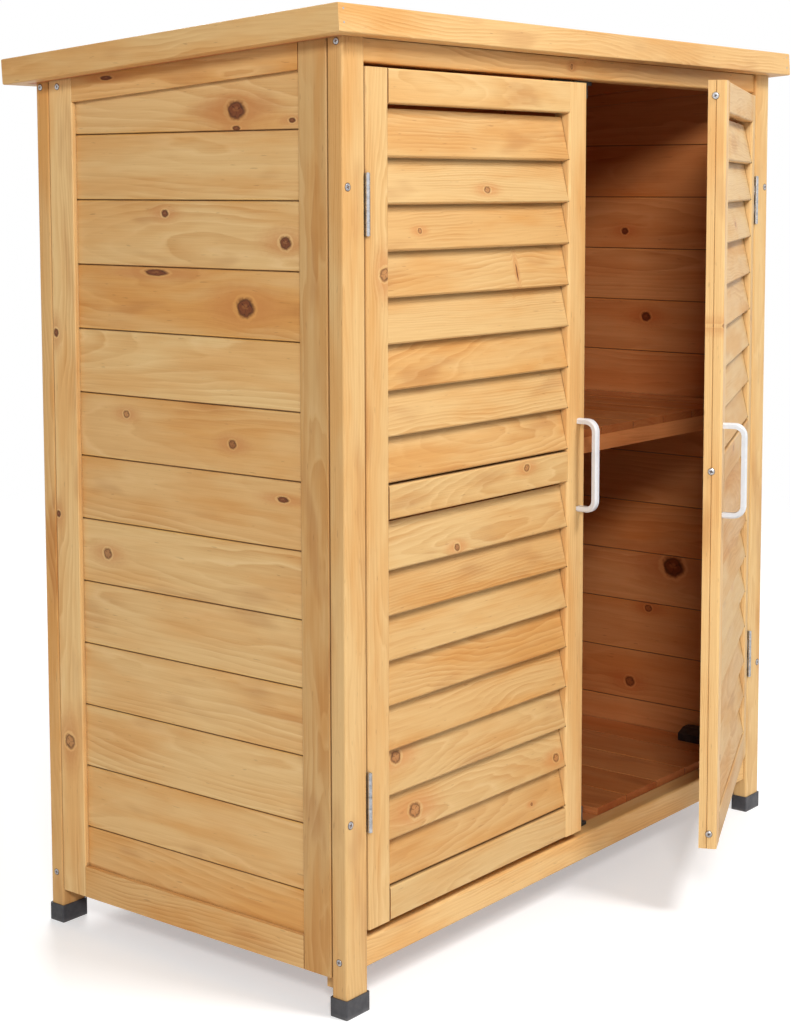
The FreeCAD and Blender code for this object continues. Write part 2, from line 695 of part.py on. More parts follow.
def slat_pitch(low, high):
    """Distance between two slats that fill the field from low to high."""
    room = f"(({high}) - ({low}) - slat_foot_gap - slat_width*cos(slat_tilt) - slat_head_gap)"
    return f"({room}/(slat_count - 1))"


def door_stile(side, end):
    """Upright of a door, with a row of slanted mortises in its inner edge."""
    start = "hinge_gap/2" if end == "hinge" else f"hinge_gap/2 + {door_width} - door_stile_width"
    place = in_door(side, from_hinge(side, start, "door_stile_width"), pin_ahead, door_bottom)
    body = bar(f"{side}_door_{end}_stile", "z", ("door_stile_width", "door_thickness", door_height), place)
    soften(body, "z", "door_round", lambda middle, box: same(middle.y, box.YMin))
    inner_is_high = (end == "hinge") == (side == "left")
    if end == "free":
        near, far = "stile_groove_place - stile_groove_width/2", "stile_groove_place + stile_groove_width/2"
        groove = [("0", near), ("0", far), ("stile_groove_depth", "stile_groove_place")]
        flipped = "left" if inner_is_high else "right"
        pocket(body, "z", polygon(mirrored(flipped, groove, "door_stile_width")), door_height)
    at = "door_stile_width - slot_depth" if inner_is_high else "0"
    for low, high in louvre_fields.values():
        pitch = slat_pitch(low, high)
        lift = f"{low} + slat_foot_gap - {door_bottom}"
        section = [(y, f"{z} + {lift}") for y, z in slat_section("slot_fit")]
        mortise = pocket(body, "x", polygon(section), "slot_depth", at)
        row = body.newObject("PartDesign::LinearPattern", "Repeat")
        row.Originals = [mortise]
        axis = next(item for item in body.Origin.OriginFeatures if item.Role == "Z_Axis")
        row.Direction = (axis, [""])
        row.Mode = "Spacing"
        row.setExpression("Offset", bound(pitch))
        row.setExpression("Occurrences", bound("slat_count"))
        body.Tip = row


def door_rail(side, name, bottom):
    start = "hinge_gap/2 + door_stile_width"
    place = in_door(side, from_hinge(side, start, rail_length), pin_ahead, bottom)
    body = bar(f"{side}_door_{name}_rail", "x", (rail_length, "door_thickness", "door_rail_height"), place)
    soften(body, "x", "door_round*2/3", lambda middle, box: same(middle.y, box.YMin))


def door_slats(side, field):
    """A row of slats, let into the stiles at both ends."""
    low, high = louvre_fields[field]
    let_in = "(slot_depth - slot_fit)"
    start = f"hinge_gap/2 + door_stile_width - {let_in}"
    length = f"({rail_length} + 2*{let_in})"
    place = in_door(side, from_hinge(side, start, length), pin_ahead, f"{low} + slat_foot_gap")
    body = new_body(f"{side}_door_{field}_slats", place)
    pad(body, "x", polygon(slat_section("0")), length)
    soften(body, "x", "slat_bevel", lambda middle, box: same(middle.y, box.YMin), "Chamfer")
    repeat(body, "z", slat_pitch(low, high), "slat_count")


def door(side):
    door_stile(side, "hinge")
    door_stile(side, "free")
    door_rail(side, "top", f"{door_top} - door_rail_height")
    door_rail(side, "mid", f"{door_middle} - door_rail_height/2")
    door_rail(side, "bottom", door_bottom)
    door_slats(side, "upper")
    door_slats(side, "lower")


for side in ("left", "right"):
    door(side)


# Handles: a flat bar bent to a bow, its two feet on the free stile

def handle(side):
    start = f"hinge_gap/2 + {door_width} - handle_inset - handle_width/2"
    foot = f"{door_middle} - handle_length/2"
    place = in_door(side, from_hinge(side, start, "handle_width"), pin_ahead, foot)
    body = new_body(f"{side}_door_handle", place)
    out, reach = "-handle_projection", "-(handle_projection - handle_thickness)"
    low, high = "handle_thickness", "handle_length - handle_thickness"
    bow = [("0", "0"), (out, "0"), (out, "handle_length"), ("0", "handle_length"),
           ("0", high), (reach, high), (reach, low), ("0", low)]
    pad(body, "x", polygon(bow), "handle_width")
    soften(body, "x", "handle_outer_round", lambda middle, box: same(middle.y, box.YMin))
    inner = -(sheet.handle_projection - sheet.handle_thickness)
    soften(body, "x", "handle_outer_round - handle_thickness", lambda middle, box: same(middle.y, inner))
    soften(body, "z", "handle_bevel", lambda middle, box: same(middle.y, box.YMin), "Chamfer")


for side in ("left", "right"):
    handle(side)


# Butt hinges: two leaves whose knuckles share a pin in front of the doors

# A knuckle is rolled from the leaf's own sheet: flats of one width stand for its curve
KNUCKLE_FLATS = 14
knuckle_count = 5
knuckle = f"((leaf_height - {knuckle_count - 1}*knuckle_gap)/{knuckle_count})"
hinge_bottom = f"({door_bottom} + hinge_inset)"
hinge_rise = f"({door_height} - 2*hinge_inset - leaf_height)"


def add_leaf(body, side, owner, x):
    """One leaf with its knuckles, on the post's side or the door's side of the pin."""
    offset = "(hinge_gap/2 - leaf_thickness)"
    toward_door = (side == "left") == (owner == "door")
    plate_x = offset if toward_door else f"-({offset} + leaf_thickness)"
    plate_x = f"{x} + {plate_x}"
    clear = "(knuckle_radius + knuckle_gap)"
    pad(body, "z", rectangle("leaf_thickness", f"leaf_width - {clear}", plate_x, clear), "leaf_height")
    first = 0 if owner == "post" else 1
    turns = [CIRCLE * (flat + 0.5) / KNUCKLE_FLATS for flat in range(KNUCKLE_FLATS)]
    rolled = [(f"{x} + knuckle_radius*cos({turn})", f"knuckle_radius*sin({turn})") for turn in turns]
    for index in range(first, knuckle_count, 2):
        lift = f"{index}*({knuckle} + knuckle_gap)"
        pad(body, "z", polygon(rolled), knuckle, lift)
        pad(body, "z", rectangle("leaf_thickness", clear, plate_x, "0"), knuckle, lift)
    pocket(body, "z", circle(x, "0", "pin_radius + pin_fit"), "leaf_height")


for side in ("left", "right"):
    door_leaves = new_body(f"{side}_hinge_door_leaves", in_door(side, "0", "0", hinge_bottom))
    add_leaf(door_leaves, side, "door", "0")
    repeat(door_leaves, "z", hinge_rise, "2")

post_leaves = new_body("hinge_post_leaves", in_cabinet("0", pin_y, hinge_bottom))
add_leaf(post_leaves, "left", "post", f"-{pin_x}")
add_leaf(post_leaves, "right", "post", pin_x)
repeat(post_leaves, "z", hinge_rise, "2")

pins = new_body("hinge_pins", in_cabinet(f"-{pin_x}", pin_y, f"{hinge_bottom} - pin_end"))
pad(pins, "z", circle("0", "0", "pin_radius"), "leaf_height + 2*pin_end")
repeat(pins, "z", hinge_rise, "2")
repeat(pins, "x", f"2*{pin_x}", "2")


# Magnetic catches behind the doors' free corners, and the strike plates on the doors

catch_front = "(-cabinet_depth/2 + door_thickness + strike_thickness + catch_fit)"
over_rail = f"({rail_back} - {catch_front})"
catch_x = "-catch_inset - catch_length/2"
catches = new_body("magnetic_catches", in_cabinet(catch_x, catch_front, rail_top))
catch_core = "(catch_length - 2*catch_ear)"
low_rise = "(door_foot_gap + strike_inset + catch_reach)"
pad(catches, "x", rectangle("catch_depth", "catch_ear_height"), "catch_length")
pad(catches, "x", rectangle("catch_depth", low_rise), catch_core, "catch_ear")
under_header = f"({header_bottom} - {rail_top})"
flange_top = f"({under_header} + catch_flange)"


def upper_catch(start):
    """Outline of a catch that hangs behind and under the header, from its lowest height."""
    return polygon([("0", start), ("catch_depth", start), ("catch_depth", flange_top),
                    (over_rail, flange_top), (over_rail, under_header), ("0", under_header)])


pad(catches, "x", upper_catch(f"({under_header} - catch_ear_height)"), "catch_length")
lowest = f"({under_header} - door_head_gap - strike_inset - catch_reach)"
pad(catches, "x", upper_catch(lowest), catch_core, "catch_ear")
repeat(catches, "x", "2*catch_inset", "2")

for side in ("left", "right"):
    start = f"hinge_gap/2 + {door_width} + centre_gap/2 - catch_inset - strike_length/2"
    place = in_door(side, from_hinge(side, start, "strike_length"), f"{pin_ahead} + door_thickness",
                    f"{door_bottom} + strike_inset - strike_height/2")
    strikes = bar(f"{side}_door_strikes", "z", ("strike_length", "strike_thickness", "strike_height"), place)
    repeat(strikes, "z", f"{door_height} - 2*strike_inset", "2")


# Brackets that hold the floor to the side panels

bracket_start = "-cabinet_depth/2 + bracket_setback"
brackets = new_body("floor_brackets", in_cabinet(f"-{inside_wall}", bracket_start, floor_top))
wedge = [("0", "0"), ("bracket_width", "0"), ("bracket_width", "bracket_low"),
         ("bracket_width/2", "bracket_high"), ("0", "bracket_high")]
pad(brackets, "y", polygon(wedge), "bracket_length")
far_wedge = [(f"2*{inside_wall} - ({x})", z) for x, z in wedge]
pad(brackets, "y", polygon(far_wedge), "bracket_length")


# Check every piece, then write it

doc.recompute()
for item in doc.Objects:
    if "Invalid" in item.State or "Error" in item.State:
        raise RuntimeError(f"{item.Label}: {item.State}")
os.makedirs("parts", exist_ok=True)
for body in PIECES:
    shape = body.Shape
    if shape.isNull() or not shape.isValid():
        raise RuntimeError(f"{body.Label}: its shape is not valid")
for body in PIECES:
    body.Shape.exportStep(os.path.join("parts", f"{body.Label}.step"))
    print(body.Label, len(body.Shape.Solids), round(body.Shape.Volume))
print(len(PIECES), "nodes")
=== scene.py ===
import json
import math

import bmesh
import bpy
from mathutils import Matrix, Vector


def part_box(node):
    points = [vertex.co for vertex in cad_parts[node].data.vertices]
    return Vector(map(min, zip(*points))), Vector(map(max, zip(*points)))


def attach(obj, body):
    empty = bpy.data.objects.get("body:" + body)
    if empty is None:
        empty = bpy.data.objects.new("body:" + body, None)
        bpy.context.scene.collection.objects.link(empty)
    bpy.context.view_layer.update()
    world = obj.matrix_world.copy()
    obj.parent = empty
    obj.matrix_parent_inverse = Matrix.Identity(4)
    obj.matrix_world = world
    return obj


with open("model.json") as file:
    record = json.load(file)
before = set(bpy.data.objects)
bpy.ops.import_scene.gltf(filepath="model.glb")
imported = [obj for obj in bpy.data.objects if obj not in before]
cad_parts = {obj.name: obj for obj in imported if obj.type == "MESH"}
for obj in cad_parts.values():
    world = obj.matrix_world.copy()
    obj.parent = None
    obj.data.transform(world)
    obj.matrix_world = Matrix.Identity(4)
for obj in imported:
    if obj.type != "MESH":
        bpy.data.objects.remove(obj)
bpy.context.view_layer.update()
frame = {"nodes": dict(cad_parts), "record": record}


# Posts. Four planed fir posts with rounded long edges, oiled a honey colour, carry the cabinet.
# The oil leaves the late wood of each year darker than the early wood, and it soaks deeper into
# end grain, knots and the joints between boards. Painted shade darkens crevices and the faces inside
# the cabinet, and a painted highlight lies beside the joints between boards.

MM = 0.001
honey = (0.83, 0.555, 0.245)
late_wood = (0.66, 0.36, 0.125)
# A pale line in each year, which also serves as the painted highlight beside the joints between boards
worn_line_and_painted_highlight = (0.95, 0.70, 0.38)
amber = (0.88, 0.64, 0.40)
smoky = (0.66, 0.50, 0.42)
end_grain = (0.56, 0.38, 0.26)
# The dark of open joints between boards, which is also the colour of the painted shade in crevices
joint_dark_and_painted_shade = (0.13, 0.05, 0.02)
# Painted shade, darker and redder, for faces that look into the cabinet
inside_painted_shade = (0.78, 0.45, 0.34)
knot_core = (0.15, 0.034, 0.011)
knot_bark = (0.030, 0.009, 0.005)
knot_halo = (0.56, 0.20, 0.055)
strip_year = 2.1 * MM
strip_cut = 160.0 * MM

# How strongly each part of the figure shows in the colour of the wood
late_share, fibre_share, streak_share = 0.58, 0.85, 0.70
fibre_start, streak_start = -0.38, -0.31
log_warmth, least_warmth = 0.58, -0.16
worn_share, shade_share, smudge_share, fleck_share = 0.30, 0.16, 0.40, 0.25
end_share, halo_share, core_share, painted_crevice_share = 0.60, 0.55, 0.97, 0.55
seam_edge, seam_end = 0.25 * MM, 1.15 * MM
# A painted highlight lies along each joint between boards
painted_highlight_edge, painted_highlight_end, painted_highlight_share = 0.9 * MM, 2.6 * MM, 0.6
# How far the painted shade in crevices reaches
painted_crevice_reach = 5 * MM
bump_height = 0.6 * MM
wood_specular = 0.2


def feed(tree, socket, value):
    """Gives a socket a number or a colour, or the output of another node."""
    if isinstance(value, bpy.types.NodeSocket):
        tree.links.new(value, socket)
    elif socket.type == "RGBA":
        socket.default_value = (*value, 1.0)
    else:
        socket.default_value = value


def add(tree, kind, sockets=None, **settings):
    """One node of a finish, with its settings and what goes into it."""
    node = tree.nodes.new(kind)
    for name, value in settings.items():
        setattr(node, name, value)
    for name, value in (sockets or {}).items():
        feed(tree, node.inputs[name], value)
    return node


def work(tree, operation, a, b=0.0, c=0.0):
    """A sum on two or three values."""
    return add(tree, "ShaderNodeMath", {0: a, 1: b, 2: c}, operation=operation).outputs[0]


def work_on_place(tree, operation, *places, gives="Vector"):
    """A sum on one, two or three places. LENGTH and DOT_PRODUCT give a Value."""
    sockets = dict(enumerate(places))
    return add(tree, "ShaderNodeVectorMath", sockets, operation=operation).outputs[gives]


def ramp(tree, value, low, high, start=0.0, end=1.0):
    """A smooth change from start to end while value goes from low to high."""
    sockets = {"Value": value, "From Min": low, "From Max": high, "To Min": start, "To Max": end}
    return add(tree, "ShaderNodeMapRange", sockets, interpolation_type="SMOOTHSTEP").outputs["Result"]


def clamp(tree, value):
    """A value kept between nought and one."""
    return add(tree, "ShaderNodeClamp", {"Value": value}).outputs[0]


def join(tree, x, y, z=0.0):
    """A place from its three measures."""
    return add(tree, "ShaderNodeCombineXYZ", {"X": x, "Y": y, "Z": z}).outputs[0]


def draw(tree, number, gives="Value"):
    """What chance gives for a number, always the same for the same number."""
    return add(tree, "ShaderNodeTexWhiteNoise", {"W": number}, noise_dimensions="1D").outputs[gives]


def noise(tree, place, stretch, detail=2.0, roughness=0.5):
    """Cloudy variation. stretch says how many clouds fit into a metre of each axis."""
    stretched = work_on_place(tree, "MULTIPLY", place, stretch)
    sockets = {"Vector": stretched, "Scale": 1.0, "Detail": detail, "Roughness": roughness}
    return add(tree, "ShaderNodeTexNoise", sockets).outputs["Fac"]


def blend_colour(tree, share, first, second, kind="MIX"):
    """One colour laid over another."""
    mix = add(tree, "ShaderNodeMix", {0: share}, data_type="RGBA", blend_type=kind)
    feed(tree, mix.inputs[6], first)
    feed(tree, mix.inputs[7], second)
    return mix.outputs[2]


def deepen(colour, tone):
    """A colour made darker or lighter as a whole."""
    return tuple(part * tone for part in colour)


def new_group(name, takes, gives):
    """A group of nodes that several finishes share."""
    tree = bpy.data.node_groups.new(name, "ShaderNodeTree")
    for socket in takes:
        tree.interface.new_socket(name=socket, in_out="INPUT", socket_type="NodeSocketFloat")
    for socket in gives:
        tree.interface.new_socket(name=socket, in_out="OUTPUT", socket_type="NodeSocketFloat")
    return tree, tree.nodes.new("NodeGroupInput").outputs, tree.nodes.new("NodeGroupOutput").inputs


def make_year_rings():
    """A board is a slice of a log: its years are rings round a heart that lies behind the board.
    Year is the width of a ring, and Cut is how far beside the board its heart may lie."""
    takes = ("Along", "Across", "Deep", "Board", "Year", "Cut")
    gives = ("Late", "Worn", "Fibre", "Streak", "Cloud", "Smudge", "Lot", "Shade", "Fleck")
    tree, given, out = new_group("year_rings", takes, gives)
    logs_apart = (40.0, 40.0, 40.0)
    most_sway = 34 * MM
    most_ripple = 4.5 * MM
    most_lean = 0.04
    least_behind, more_behind = 40 * MM, 70 * MM
    years_apart = 13.0

    chance = draw(tree, given["Board"], "Color")
    lot = add(tree, "ShaderNodeSeparateColor", {"Color": chance}).outputs
    point = join(tree, given["Along"], given["Across"], given["Deep"])
    place = work_on_place(tree, "MULTIPLY_ADD", chance, logs_apart, point)
    sway = work(tree, "MULTIPLY", noise(tree, place, (2.6, 9.0, 9.0), 1.0), most_sway)
    ripple = work(tree, "MULTIPLY", noise(tree, place, (13.0, 60.0, 60.0)), most_ripple)
    beside = work(tree, "MULTIPLY", work(tree, "SUBTRACT", lot["Red"], 0.5), given["Cut"])
    lean = work(tree, "MULTIPLY_ADD", lot["Green"], 2 * most_lean, -most_lean)
    behind = work(tree, "MULTIPLY_ADD", lot["Blue"], more_behind, least_behind)
    sunk = work(tree, "MULTIPLY_ADD", given["Along"], lean, work(tree, "ADD", given["Deep"], behind))
    heart = join(tree, work(tree, "ADD", given["Across"], beside), sunk)
    radius = work_on_place(tree, "LENGTH", heart, gives="Value")
    radius = work(tree, "ADD", radius, work(tree, "ADD", sway, ripple))

    # Each year has its own strength, and its late wood ends sharply where the next year begins
    years = work(tree, "DIVIDE", radius, given["Year"])
    part = work(tree, "FRACT", years)
    year = work(tree, "MULTIPLY_ADD", given["Board"], years_apart, work(tree, "FLOOR", years))
    clear = ramp(tree, noise(tree, place, (6.0, 20.0, 20.0), 1.0), 0.36, 0.60, 0.25, 1.0)
    strength = work(tree, "MULTIPLY", clear, work(tree, "MULTIPLY_ADD", draw(tree, year), 0.7, 0.3))
    late = work(tree, "MULTIPLY", ramp(tree, part, 0.15, 0.9), ramp(tree, part, 0.93, 1.0, 1.0, 0.0))
    worn = work(tree, "MULTIPLY", ramp(tree, part, 0.0, 0.06), ramp(tree, part, 0.07, 0.22, 1.0, 0.0))
    tree.links.new(work(tree, "MULTIPLY", late, strength), out["Late"])
    tree.links.new(work(tree, "MULTIPLY", worn, strength), out["Worn"])
    tree.links.new(noise(tree, place, (15.0, 850.0, 850.0), 3.0, 0.6), out["Fibre"])
    tree.links.new(noise(tree, place, (5.0, 170.0, 170.0), 3.0, 0.6), out["Streak"])
    tree.links.new(noise(tree, place, (5.0, 26.0, 26.0), 3.0, 0.55), out["Cloud"])
    tree.links.new(ramp(tree, noise(tree, place, (8.0, 30.0, 30.0), 2.0), 0.58, 0.74), out["Smudge"])
    tree.links.new(lot["Blue"], out["Lot"])
    tree.links.new(lot["Green"], out["Shade"])
    tree.links.new(ramp(tree, noise(tree, place, (60.0, 420.0, 420.0), 1.0), 0.71, 0.80), out["Fleck"])
    return tree


def make_knot():
    """A branch crosses the board: the years flow round it, and its own wood is dark, ringed and
    cracked. Long is its stretch along the grain, and Pale is 1 for a young knot with a light middle.
    A place's reach is its way from the middle of the knot, and about 1 at the rim."""
    so_far = ("Across", "Core", "Bark", "Halo")
    own = ("Knot Along", "Knot Across", "Size", "Long", "Pale")
    tree, given, out = new_group("knot", ("Along", *so_far, *own), so_far)
    rim, lip_reach = 0.95, 1.40

    aside = work(tree, "SUBTRACT", given["Across"], given["Knot Across"])
    away = work(tree, "DIVIDE", work(tree, "SUBTRACT", given["Along"], given["Knot Along"]), given["Long"])
    size = join(tree, given["Size"], given["Size"], 1.0)
    spot = work_on_place(tree, "DIVIDE", join(tree, away, aside), size)
    rough = noise(tree, spot, (1.3, 1.3, 1.3))
    reach = work_on_place(tree, "LENGTH", spot, gives="Value")
    reach = work(tree, "ADD", reach, work(tree, "MULTIPLY_ADD", rough, 0.9, -0.45))
    rings = work(tree, "SINE", work(tree, "MULTIPLY_ADD", rough, 5.0, work(tree, "MULTIPLY", reach, 12.0)))
    rings = work(tree, "MULTIPLY_ADD", rings, 0.05, 0.95)
    core = work(tree, "MULTIPLY", ramp(tree, reach, 0.80, 1.1, 1.0, 0.0), rings)
    core = work(tree, "MULTIPLY", core, work(tree, "MULTIPLY_ADD", given["Pale"], -0.7, 1.0))
    core = work(tree, "MULTIPLY", core, ramp(tree, reach, 0.05, 0.65, 0.80, 1.0))
    edge = work(tree, "ABSOLUTE", work(tree, "SUBTRACT", reach, rim))
    bark = work(tree, "MULTIPLY", ramp(tree, edge, 0.0, 0.34, 1.2, 0.0), rough)
    around = work(tree, "ARCTAN2", aside, away)
    turn = work(tree, "MULTIPLY_ADD", around, 1.5, work(tree, "MULTIPLY", rough, 4.0))
    crack = ramp(tree, work(tree, "ABSOLUTE", work(tree, "SINE", turn)), 0.02, 0.30, 0.8, 0.0)
    crack = work(tree, "MULTIPLY", crack, ramp(tree, reach, 0.35, 0.95, 1.0, 0.0))
    bark = work(tree, "MAXIMUM", bark, crack)
    tree.links.new(work(tree, "MAXIMUM", given["Core"], core), out["Core"])
    tree.links.new(work(tree, "MAXIMUM", given["Bark"], bark), out["Bark"])

    # Oil stains the wood round the knot, apart from a pale lip, and the years bend away from it
    stain = work_on_place(tree, "MULTIPLY", spot, (0.42, 0.85, 0.0))
    stain = work(tree, "ADD", work_on_place(tree, "LENGTH", stain, gives="Value"), rough)
    lip = ramp(tree, work(tree, "ABSOLUTE", work(tree, "SUBTRACT", reach, lip_reach)), 0.05, 0.28, 0.25, 1.0)
    stain = work(tree, "MULTIPLY", ramp(tree, stain, 0.9, 3.6, 1.0, 0.0), lip)
    tree.links.new(work(tree, "MAXIMUM", given["Halo"], stain), out["Halo"])
    flow = work_on_place(tree, "MULTIPLY", spot, (0.32, 0.46, 0.0))
    flow = work_on_place(tree, "DOT_PRODUCT", flow, flow, gives="Value")
    push = work(tree, "EXPONENT", work(tree, "MULTIPLY", flow, -1.0))
    bent = work(tree, "SUBTRACT", given["Across"], work(tree, "MULTIPLY", aside, push))
    tree.links.new(bent, out["Across"])
    return tree


year_rings = make_year_rings()
knot_flow = make_knot()


def oil_fir(node, along, deep, board, boards=None, knots=(), warm=0.0, tone=1.0, year=strip_year,
            cut=strip_cut, inside=None, joints=0.0, door=None, box=None):
    """Gives a piece of fir its oil. along is the way of its grain, deep the way its wide face looks,
    and board the number that its figure is drawn from. boards is (axis, first, pitch) where pieces
    lie side by side, and joints is how dark the lines between them are, with a painted highlight
    beside each line. A knot is (along, across, size, long, pale), with its place and size in
    millimetres. inside is the way of the face that looks into the cabinet, or "all", and those
    faces get painted shade. door is the pin and the angle that turn a piece of an open door back to
    where it is when shut, and box its corners there. Crevices between parts get painted shade."""
    finish = bpy.data.materials.new(f"fir_{node}")
    finish.use_nodes = True
    tree = finish.node_tree
    shader = tree.nodes["Principled BSDF"]
    coordinates = add(tree, "ShaderNodeTexCoord").outputs
    place = coordinates["Object"]
    facing = coordinates["Normal"]
    if door:
        pin, angle = door
        around_pin = {"Vector": place, "Center": pin, "Angle": angle}
        place = add(tree, "ShaderNodeVectorRotate", around_pin, rotation_type="Z_AXIS").outputs[0]
        turned = {"Vector": facing, "Angle": angle}
        facing = add(tree, "ShaderNodeVectorRotate", turned, rotation_type="Z_AXIS").outputs[0]
    axes = add(tree, "ShaderNodeSeparateXYZ", {"Vector": place}).outputs
    ways = add(tree, "ShaderNodeSeparateXYZ", {"Vector": facing}).outputs
    width = ({"X", "Y", "Z"} - {along, deep}).pop()
    low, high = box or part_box(node)
    middle = {axis: (low["XYZ".index(axis)] + high["XYZ".index(axis)]) / 2 for axis in "XYZ"}
    number = float(board)
    from_joint = None
    if boards:
        axis, first, pitch = boards
        steps = work(tree, "DIVIDE", work(tree, "SUBTRACT", axes[axis], first), pitch)
        step = work(tree, "FLOOR", steps)
        number = work(tree, "ADD", step, number)
        middle[axis] = work(tree, "MULTIPLY_ADD", step, pitch, first + pitch / 2)
        from_middle = work(tree, "ABSOLUTE", work(tree, "SUBTRACT", work(tree, "FRACT", steps), 0.5))
        from_joint = work(tree, "MULTIPLY", work(tree, "SUBTRACT", 0.5, from_middle), pitch)
    across, core, bark, halo = axes[width], 0.0, 0.0, 0.0
    for knot_along, knot_across, size, long, pale in knots:
        knot = add(tree, "ShaderNodeGroup", node_tree=knot_flow)
        so_far = {"Along": axes[along], "Across": across, "Core": core, "Bark": bark, "Halo": halo}
        own = {"Knot Along": knot_along * MM, "Knot Across": knot_across * MM, "Size": size * MM,
               "Long": long, "Pale": pale}
        for socket, value in (so_far | own).items():
            feed(tree, knot.inputs[socket], value)
        across, core, bark, halo = (knot.outputs[name] for name in ("Across", "Core", "Bark", "Halo"))
    rings = add(tree, "ShaderNodeGroup", node_tree=year_rings)
    cross_place = work(tree, "SUBTRACT", across, middle[width])
    deep_place = work(tree, "SUBTRACT", axes[deep], middle[deep])
    for socket, value in (("Along", axes[along]), ("Across", cross_place), ("Deep", deep_place),
                          ("Board", number), ("Year", year), ("Cut", cut)):
        feed(tree, rings.inputs[socket], value)
    late, worn, fibre, streak, cloud, smudge, lot, shade, fleck = rings.outputs

    # The grain goes from early to late wood, and each board has its own warmth
    fibres = work(tree, "MULTIPLY_ADD", fibre, fibre_share, fibre_start)
    streaks = work(tree, "MULTIPLY_ADD", streak, streak_share, streak_start)
    grain = work(tree, "MULTIPLY_ADD", late, late_share, fibres)
    grain = clamp(tree, work(tree, "ADD", grain, streaks))
    colour = blend_colour(tree, grain, deepen(honey, tone), deepen(late_wood, tone))
    colour = blend_colour(tree, work(tree, "MULTIPLY", worn, worn_share), colour, deepen(worn_line_and_painted_highlight, tone))
    own_warmth = work(tree, "MULTIPLY_ADD", lot, log_warmth, warm + least_warmth)
    warmth = clamp(tree, work(tree, "ADD", own_warmth, ramp(tree, cloud, 0.40, 0.68, -0.08, 0.46)))
    colour = blend_colour(tree, warmth, colour, amber, "MULTIPLY")
    colour = blend_colour(tree, work(tree, "MULTIPLY", shade, shade_share), colour, smoky, "MULTIPLY")
    colour = blend_colour(tree, work(tree, "MULTIPLY", smudge, smudge_share), colour, smoky, "MULTIPLY")
    end = ramp(tree, work(tree, "ABSOLUTE", ways[along]), 0.75, 0.98)
    colour = blend_colour(tree, work(tree, "MULTIPLY", end, end_share), colour, end_grain, "MULTIPLY")
    colour = blend_colour(tree, work(tree, "MULTIPLY", fleck, fleck_share), colour, knot_core)
    if knots:
        colour = blend_colour(tree, work(tree, "MULTIPLY", halo, halo_share), colour, knot_halo)
        colour = blend_colour(tree, work(tree, "MULTIPLY", core, core_share), colour, knot_core)
        colour = blend_colour(tree, bark, colour, knot_bark)
    # Faces that look into the cabinet are darkened and reddened: painted shade inside the cabinet
    if inside:
        share = 1.0
        if inside != "all":
            sign = float(inside[0] + "1")
            share = ramp(tree, work(tree, "MULTIPLY", ways[inside[1]], sign), 0.2, 0.8)
        colour = blend_colour(tree, share, colour, inside_painted_shade, "MULTIPLY")
    if joints:
        seam = ramp(tree, from_joint, seam_edge, seam_end, joints, 0.0)
        # A painted highlight lies along each side of the joint
        painted_seam_highlight = ramp(tree, from_joint, painted_highlight_edge, painted_highlight_end, painted_highlight_share * joints, 0.0)
        painted_seam_highlight = work(tree, "MULTIPLY", painted_seam_highlight, ramp(tree, streak, 0.42, 0.62))
        colour = blend_colour(tree, painted_seam_highlight, colour, worn_line_and_painted_highlight, "SOFT_LIGHT")
        colour = blend_colour(tree, seam, colour, joint_dark_and_painted_shade)
    # Painted shade darkens crevices and corners between parts
    painted_crevice_shade = add(tree, "ShaderNodeAmbientOcclusion", {"Distance": painted_crevice_reach}, samples=4).outputs["AO"]
    colour = blend_colour(tree, ramp(tree, painted_crevice_shade, 0.25, 0.8, painted_crevice_share, 0.0), colour, joint_dark_and_painted_shade)
    tree.links.new(colour, shader.inputs["Base Color"])
    gloss = work(tree, "ADD", ramp(tree, cloud, 0.3, 0.7, 0.40, 0.52), work(tree, "MULTIPLY", end, 0.2))
    tree.links.new(gloss, shader.inputs["Roughness"])
    relief = work(tree, "ADD", fibre, work(tree, "MULTIPLY", core, -0.6))
    relief = work(tree, "MULTIPLY_ADD", late, 0.5, relief)
    bump = add(tree, "ShaderNodeBump", {"Strength": 0.35, "Distance": bump_height, "Height": relief})
    tree.links.new(bump.outputs[0], shader.inputs["Normal"])
    shader.inputs["Specular IOR Level"].default_value = wood_specular
    dress(node, finish)


def dress(node, finish):
    """Gives a solid of the frame its finish."""
    for slot in frame["nodes"][node].material_slots:
        slot.material = finish


oil_fir("front_left_post", "Z", "Y", 3, warm=-0.2, tone=0.94)
oil_fir("front_right_post", "Z", "Y", 5, warm=-0.2, tone=0.96)
oil_fir("back_left_post", "Z", "X", 8, warm=0.1)
oil_fir("back_right_post", "Z", "X", 12)


# Zinc plated cross head screws hold the posts to the side frames and rails. Each is turned down
# into the wood, with painted shade in a dark ring round its head and in its cross.

def plain_finish(name, rough, light, dark, scale, grain=0.0, gloss=(0.3, 0.5), relief=0.15, metal=0.0):
    """A finish of one colour that is mottled from light to dark, with a fine skin. scale and grain
    say how many clouds and how many grains fit into a metre."""
    finish = bpy.data.materials.new(name)
    finish.use_nodes = True
    tree = finish.node_tree
    shader = tree.nodes["Principled BSDF"]
    place = add(tree, "ShaderNodeTexCoord").outputs["Object"]
    cloud = noise(tree, place, (scale, scale, scale), 4.0, rough)
    skin = noise(tree, place, (grain, grain, grain), 2.0) if grain else cloud
    mottled = blend_colour(tree, ramp(tree, cloud, 0.32, 0.68), light, dark)
    tree.links.new(mottled, shader.inputs["Base Color"])
    tree.links.new(ramp(tree, cloud, 0.3, 0.7, *gloss), shader.inputs["Roughness"])
    bump = add(tree, "ShaderNodeBump", {"Strength": relief, "Distance": 0.2 * MM, "Height": skin})
    tree.links.new(bump.outputs[0], shader.inputs["Normal"])
    shader.inputs["Metallic"].default_value = metal
    return finish


zinc = plain_finish("zinc_plate", 0.6, (0.60, 0.60, 0.61), (0.36, 0.37, 0.39), 260.0,
                    gloss=(0.24, 0.42), metal=1.0)
